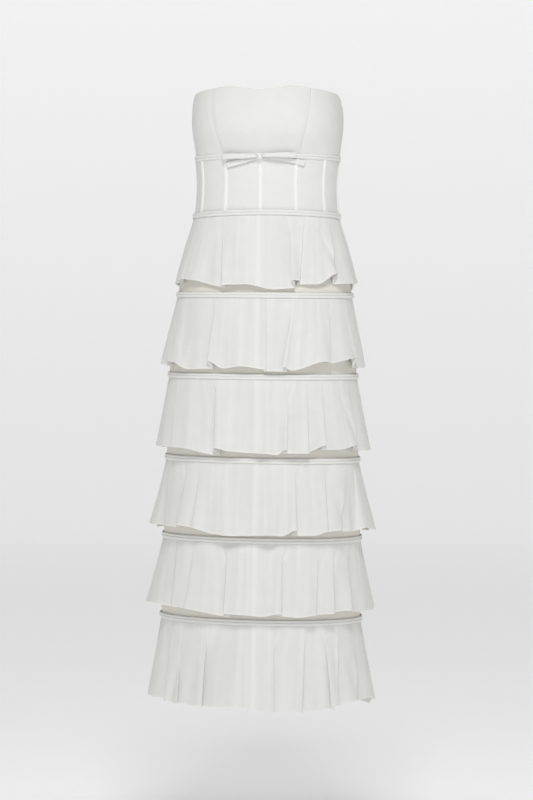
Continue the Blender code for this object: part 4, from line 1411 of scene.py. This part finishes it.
@dataclass
class Zip(SubAssembly):
    """The centre-back zip: its tape, its coil, the slider and the pull that swings."""

    top: float = 0.0630
    foot: float = -0.215
    width: float = 0.008
    lift: float = 0.0006
    wall: float = 0.0007
    slider_level: float = 0.052
    slider_size: tuple[float, float, float] = (0.0062, 0.0016, 0.0090)
    cad_wall: float = 0.0010
    tooth_pitch: float = 0.0016
    tooth_size: tuple[float, float, float] = (0.0026, 0.0003, 0.0010)
    tooth_shift: float = 0.0007
    tooth_corner: float = 0.0001
    tooth_rest: float = 0.00005
    teeth_clear: tuple[float, float] = (0.004, 0.006)
    valley: float = 0.00025
    valley_width: float = 0.12
    columns: int = 16
    rows: int = 140
    waisted: float = 0.72
    body_corner: float = 0.00035
    sharp_angle: float = 50.0
    bail_leg: float = 0.0009
    bail_span: float = 0.0038
    bail_rise: float = 0.0027
    bail_width: float = 0.0014
    pull_size: tuple[float, float, float] = (0.0048, 0.0010, 0.0210)
    eye_size: tuple[float, float] = (0.0024, 0.0029)
    pull_corner: float = 0.0016
    pull_edge: float = 0.00012
    play: float = 0.0004

    def build(self) -> None:
        """Build the zip's pieces."""
        self.tape()
        self.teeth()
        self.slider()
        self.pull()

    def tape(self) -> None:
        """Build the tape."""
        form = self.form
        half = math.degrees(self.width / 2 / form.section(0.0)[2])

        def place(across: float, up: float) -> Vector:
            """A point of the tape, with a low groove where the two sides meet."""
            aside = 2 * across - 1
            angle = form.back_seam + half * aside
            dip = self.valley * math.exp(-((aside / self.valley_width) ** 2))
            return form.off(angle, between(self.foot, self.top, up), self.lift - dip)

        laid = self.cloth(place, self.columns, self.rows)
        base = ["crepe_bodice_back_left"]
        self.sheet("zip_tape", laid, Slot.ZIP_TAPE, "zip_strip", self.wall, Held.STRETCHED, base)

    def teeth(self) -> None:
        """Build the row of teeth, each turned to lie along the back."""
        form = self.form
        teeth = bmesh.new()
        below, above_last = self.teeth_clear
        rise = self.lift + self.wall + self.tooth_rest
        size = Matrix.Diagonal((*self.tooth_size, 1.0))
        for index in range(int((self.slider_level - above_last - self.foot) / self.tooth_pitch)):
            level = self.foot + below + index * self.tooth_pitch
            seat = form.off(form.back_seam, level, rise)
            along = form.off(form.back_seam, level + 0.001, rise) - seat
            turn = Matrix.Rotation(-math.atan2(along.y, along.z), 4, "X")
            side = Vector(((index % 2 - 0.5) * self.tooth_shift, 0.0, 0.0))
            place = Matrix.Translation(seat + side) @ turn @ size
            made = bmesh.ops.create_cube(teeth, size=1.0, matrix=place)
            edges = self.edges_of(made["verts"])
            self.soften(teeth, edges, self.tooth_corner, 1)
        self.dress("zip_teeth", teeth, Slot.ZIP_METAL, [])

    def seat(self) -> Vector:
        """The point where the slider's back lies on the tape."""
        return self.form.off(
            self.form.back_seam, self.slider_level, self.lift + self.cad_wall + self.form.layer
        )

    def slider(self) -> None:
        """Build the slider: a bevelled body, waisted towards its foot, and its arched bail."""
        width, thick, tall = self.slider_size
        shape = bmesh.new()
        size = Matrix.Diagonal((width, thick, tall, 1.0))
        bmesh.ops.create_cube(shape, size=1.0, matrix=size)
        upright = [e for e in shape.edges if abs(e.verts[0].co.z - e.verts[1].co.z) > tall / 2]
        bmesh.ops.subdivide_edges(shape, edges=upright, cuts=5)
        for vert in shape.verts:
            down = 0.5 - vert.co.z / tall
            vert.co.x *= between(1.0, self.waisted, soft_step(0.35, 1.0, down))
        self.soften(shape, self.sharp(shape), self.body_corner)
        leg = self.bail_leg
        reach = (self.bail_span - leg) / 2
        ring = bmesh.ops.create_circle(shape, radius=leg / 2, segments=12)["verts"]
        stand = Matrix.Rotation(math.pi / 2, 4, "X")
        flat = Matrix.Diagonal((self.bail_width / leg, 1.0, 1.0, 1.0))
        bmesh.ops.transform(
            shape, matrix=Matrix.Translation((0.0, 0.0, reach)) @ flat @ stand, verts=ring
        )
        edges = self.edges_of(ring)
        known = set(shape.verts)
        bmesh.ops.spin(
            shape, geom=ring + edges, cent=(0, 0, 0), axis=(-1, 0, 0), angle=math.pi, steps=16
        )
        arch = ring + [vert for vert in shape.verts if vert not in known]
        # The arch is squared off, so that the pull's bar can turn in it.
        for vert in arch:
            side, out = abs(vert.co.z), vert.co.y
            far = max(math.hypot(side, out), 1e-9)
            swell = ((side / far) ** 4 + (out / far) ** 4) ** -0.25
            vert.co.y *= swell
            vert.co.z *= swell
        rise = (self.bail_rise - leg / 2) / reach
        bmesh.ops.scale(shape, vec=(1.0, rise, 1.0), verts=arch)
        bmesh.ops.translate(shape, vec=(0.0, thick / 2, 0.0), verts=arch)
        middle = self.seat() + Vector((0.0, thick / 2, 0.0))
        bmesh.ops.translate(shape, vec=middle, verts=shape.verts[:])
        bmesh.ops.recalc_face_normals(shape, faces=shape.faces[:])
        self.dress("zip_slider_and_bail", shape, Slot.ZIP_METAL, ["zip_slider"])

    def edges_of(self, verts: Iterable[bmesh.types.BMVert]) -> list[bmesh.types.BMEdge]:
        """The edges that meet at some vertices, each once and in a fixed order."""
        return list(dict.fromkeys(edge for vert in verts for edge in vert.link_edges))

    def sharp(self, shape: bmesh.types.BMesh) -> list[bmesh.types.BMEdge]:
        """The edges where a shape bends sharply."""
        return [e for e in shape.edges if e.calc_face_angle() > math.radians(self.sharp_angle)]

    def soften(
        self, shape: bmesh.types.BMesh, edges: list[bmesh.types.BMEdge], radius: float,
        segments: int = 3,
    ) -> None:
        """Round edges off by a radius."""
        bmesh.ops.bevel(
            shape, geom=edges, offset=radius, affect="EDGES", segments=segments, profile=0.5,
            material=-1,
        )

    def pull(self) -> None:
        """Build the pull: a flat tab with rounded lower corners and an eye for the bail."""
        width, thick, length = self.pull_size
        eye_width, eye_length = self.eye_size
        columns = (-width / 2, -eye_width / 2, eye_width / 2, width / 2)
        top = thick / 2
        levels = (top - length, top - thick - eye_length, top - thick, top)
        shape = bmesh.new()
        bmesh.ops.create_grid(shape, x_segments=3, y_segments=3, size=0.5)
        for vert in shape.verts:
            column, row = round((vert.co.x + 0.5) * 3), round((vert.co.y + 0.5) * 3)
            vert.co = Vector((columns[column], -thick / 2, levels[row]))
        centre = Vector((0.0, -thick / 2, top - thick - eye_length / 2))
        eye = min(shape.faces, key=lambda face: (face.calc_center_median() - centre).length)
        bmesh.ops.delete(shape, geom=[eye], context="FACES_ONLY")
        raised = bmesh.ops.extrude_face_region(shape, geom=shape.faces[:], use_keep_orig=True)
        moved = [item for item in raised["geom"] if isinstance(item, bmesh.types.BMVert)]
        bmesh.ops.translate(shape, vec=(0.0, thick, 0.0), verts=moved)
        bmesh.ops.recalc_face_normals(shape, faces=shape.faces[:])
        through = [e for e in shape.edges if abs(e.verts[0].co.y - e.verts[1].co.y) > thick / 2]
        corners = [e for e in through if abs(e.verts[0].co.x) > eye_width]
        low = [e for e in corners if e.verts[0].co.z < levels[0] + thick]
        self.soften(shape, low, self.pull_corner)
        self.soften(shape, self.sharp(shape), self.pull_edge)
        slider_thick = self.slider_size[1]
        place = self.seat() + Vector((0.0, slider_thick + self.play + thick / 2, 0.0))
        bmesh.ops.translate(shape, vec=place, verts=shape.verts[:])
        self.dress("zip_pull_tab", shape, Slot.ZIP_METAL, ["zip_pull"], Body.ZIP_PULL)


@dataclass
class Studio:
    """A pale floor that curves up into a round wall, soft light and the photograph's camera."""

    floor_level: float = -1.30
    radius: float = 11.0
    curve: float = 3.0
    wall_top: float = 3.5
    curve_steps: int = 12
    steps_round: int = 96
    floor_hex: str = "F4F4F4"
    near_glow: float = 0.26
    far_glow: float = 0.43
    near_radius: float = 0.1
    far_radius: float = 0.9
    sky_hex: str = "FFFFFF"
    sky_strength: float = 0.20
    lamp_place: tuple[float, float, float] = (0.40, -2.8, 2.5)
    lamp_aim: tuple[float, float, float] = (0.0, 0.0, -0.3)
    lamp_size: float = 0.9
    lamp_watts: float = 70.0
    camera_azimuth: float = 8.0
    camera_distance: float = 6.0
    camera_height: float = -0.2663
    aim_height: float = -0.4543
    aim_aside: float = 0.0028
    lens: float = 143.6
    sensor: float = 36.0

    def floor(self) -> None:
        """Spin the floor's outline into a cup."""
        shape = bmesh.new()
        outline = [Vector((0.0, 0.0, 0.0)), Vector((self.radius - self.curve, 0.0, 0.0))]
        for index in range(self.curve_steps):
            turn = math.pi / 2 * (index + 1) / self.curve_steps
            aside, up = 1 - math.sin(turn), 1 - math.cos(turn)
            outline.append(Vector((self.radius - self.curve * aside, 0.0, self.curve * up)))
        outline.append(Vector((self.radius, 0.0, self.wall_top)))
        verts = [shape.verts.new(point) for point in outline]
        edges = [shape.edges.new(pair) for pair in zip(verts, verts[1:])]
        bmesh.ops.spin(
            shape, geom=verts + edges, cent=(0, 0, 0), axis=(0, 0, 1), angle=2 * math.pi,
            steps=self.steps_round, use_merge=True,
        )
        bmesh.ops.remove_doubles(shape, verts=shape.verts[:], dist=0.0001)
        bmesh.ops.recalc_face_normals(shape, faces=shape.faces[:])
        bmesh.ops.translate(shape, vec=(0, 0, self.floor_level), verts=shape.verts[:])
        mesh = bpy.data.meshes.new("studio_floor")
        shape.to_mesh(mesh)
        shape.free()
        mesh.shade_smooth()
        # Painted board, dead matt, so that no edge or reflection shows behind the gown. It glows
        # though it is no lamp: painted light, dimmer under the gown as painted shade and brighter far
        # off.
        material, tree, output = blank_material("matt_painted_board")
        place = add_node(tree, "ShaderNodeTexCoord").outputs["Object"]
        ground = add_node(
            tree, "ShaderNodeVectorMath", {0: place, 1: (1.0, 1.0, 0.0)}, operation="MULTIPLY",
        )
        radius = add_node(tree, "ShaderNodeVectorMath", {0: ground.outputs[0]}, operation="LENGTH")
        glow = add_node(
            tree, "ShaderNodeMapRange",
            {
                "Value": radius.outputs["Value"], "From Min": self.near_radius,
                "From Max": self.far_radius, "To Min": self.near_glow, "To Max": self.far_glow,
            },
            interpolation_type="SMOOTHSTEP",
        )
        board = add_node(
            tree, "ShaderNodeBsdfPrincipled",
            {
                "Base Color": linear(self.floor_hex), "Roughness": 1.0, "Specular IOR Level": 0.0,
                "Emission Color": linear(self.sky_hex), "Emission Strength": glow.outputs[0],
            },
        )
        tree.links.new(board.outputs[0], output.inputs["Surface"])
        mesh.materials.append(material)
        floor = bpy.data.objects.new("studio_floor", mesh)
        bpy.context.scene.collection.objects.link(floor)

    def aim(self, thing: bpy.types.Object, place: Vector, target: Vector) -> None:
        """Stand a lamp or camera at a place and point it at its target."""
        thing.location = place
        thing.rotation_mode = "QUATERNION"
        thing.rotation_quaternion = (target - place).to_track_quat("-Z", "Y")
        bpy.context.scene.collection.objects.link(thing)

    def lights(self) -> None:
        """Add the sky's even light and one soft lamp before the gown, high and a little aside."""
        world = bpy.data.worlds.new("studio_sky")
        bpy.context.scene.world = world
        world.use_nodes = True
        tree = world.node_tree
        tree.nodes.clear()
        sky = add_node(
            tree, "ShaderNodeBackground",
            {"Color": linear(self.sky_hex), "Strength": self.sky_strength},
        )
        output = tree.nodes.new("ShaderNodeOutputWorld")
        tree.links.new(sky.outputs[0], output.inputs["Surface"])
        lamp = bpy.data.lights.new("key", "AREA")
        lamp.shape = "SQUARE"
        lamp.size = self.lamp_size
        lamp.energy = self.lamp_watts
        self.aim(bpy.data.objects.new("key", lamp), Vector(self.lamp_place), Vector(self.lamp_aim))

    def camera(self) -> None:
        """Set the camera up at the photograph's angle, with its framing."""
        data = bpy.data.cameras.new("camera")
        data.sensor_fit = "VERTICAL"
        data.sensor_height = self.sensor
        data.sensor_width = self.sensor
        data.lens = self.lens
        data.clip_end = 100.0
        camera = bpy.data.objects.new("camera", data)
        turn = math.radians(self.camera_azimuth)
        far = self.camera_distance
        eye = Vector((far * math.sin(turn), -far * math.cos(turn), self.camera_height))
        right = Vector((math.cos(turn), math.sin(turn), 0.0))
        self.aim(camera, eye, Vector((0.0, 0.0, self.aim_height)) - right * self.aim_aside)
        bpy.context.scene.camera = camera

    def build(self) -> None:
        """Build the studio."""
        self.floor()
        self.lights()
        self.camera()
        bpy.context.scene.view_settings.view_transform = "Standard"


def main() -> None:
    """Build the gown and its studio."""
    logging.basicConfig(level=logging.INFO, format="%(message)s")
    form = GownForm()
    materials = {slot: finish.material() for slot, finish in FINISHES.items()}
    Studio().build()
    for assembly in (Bodice, Midriff, BoningChannels, RibbonBands, BaseSkirt, Flounces, Bow, Zip):
        assembly(form, materials).build()


if __name__ == "__main__":
    main()
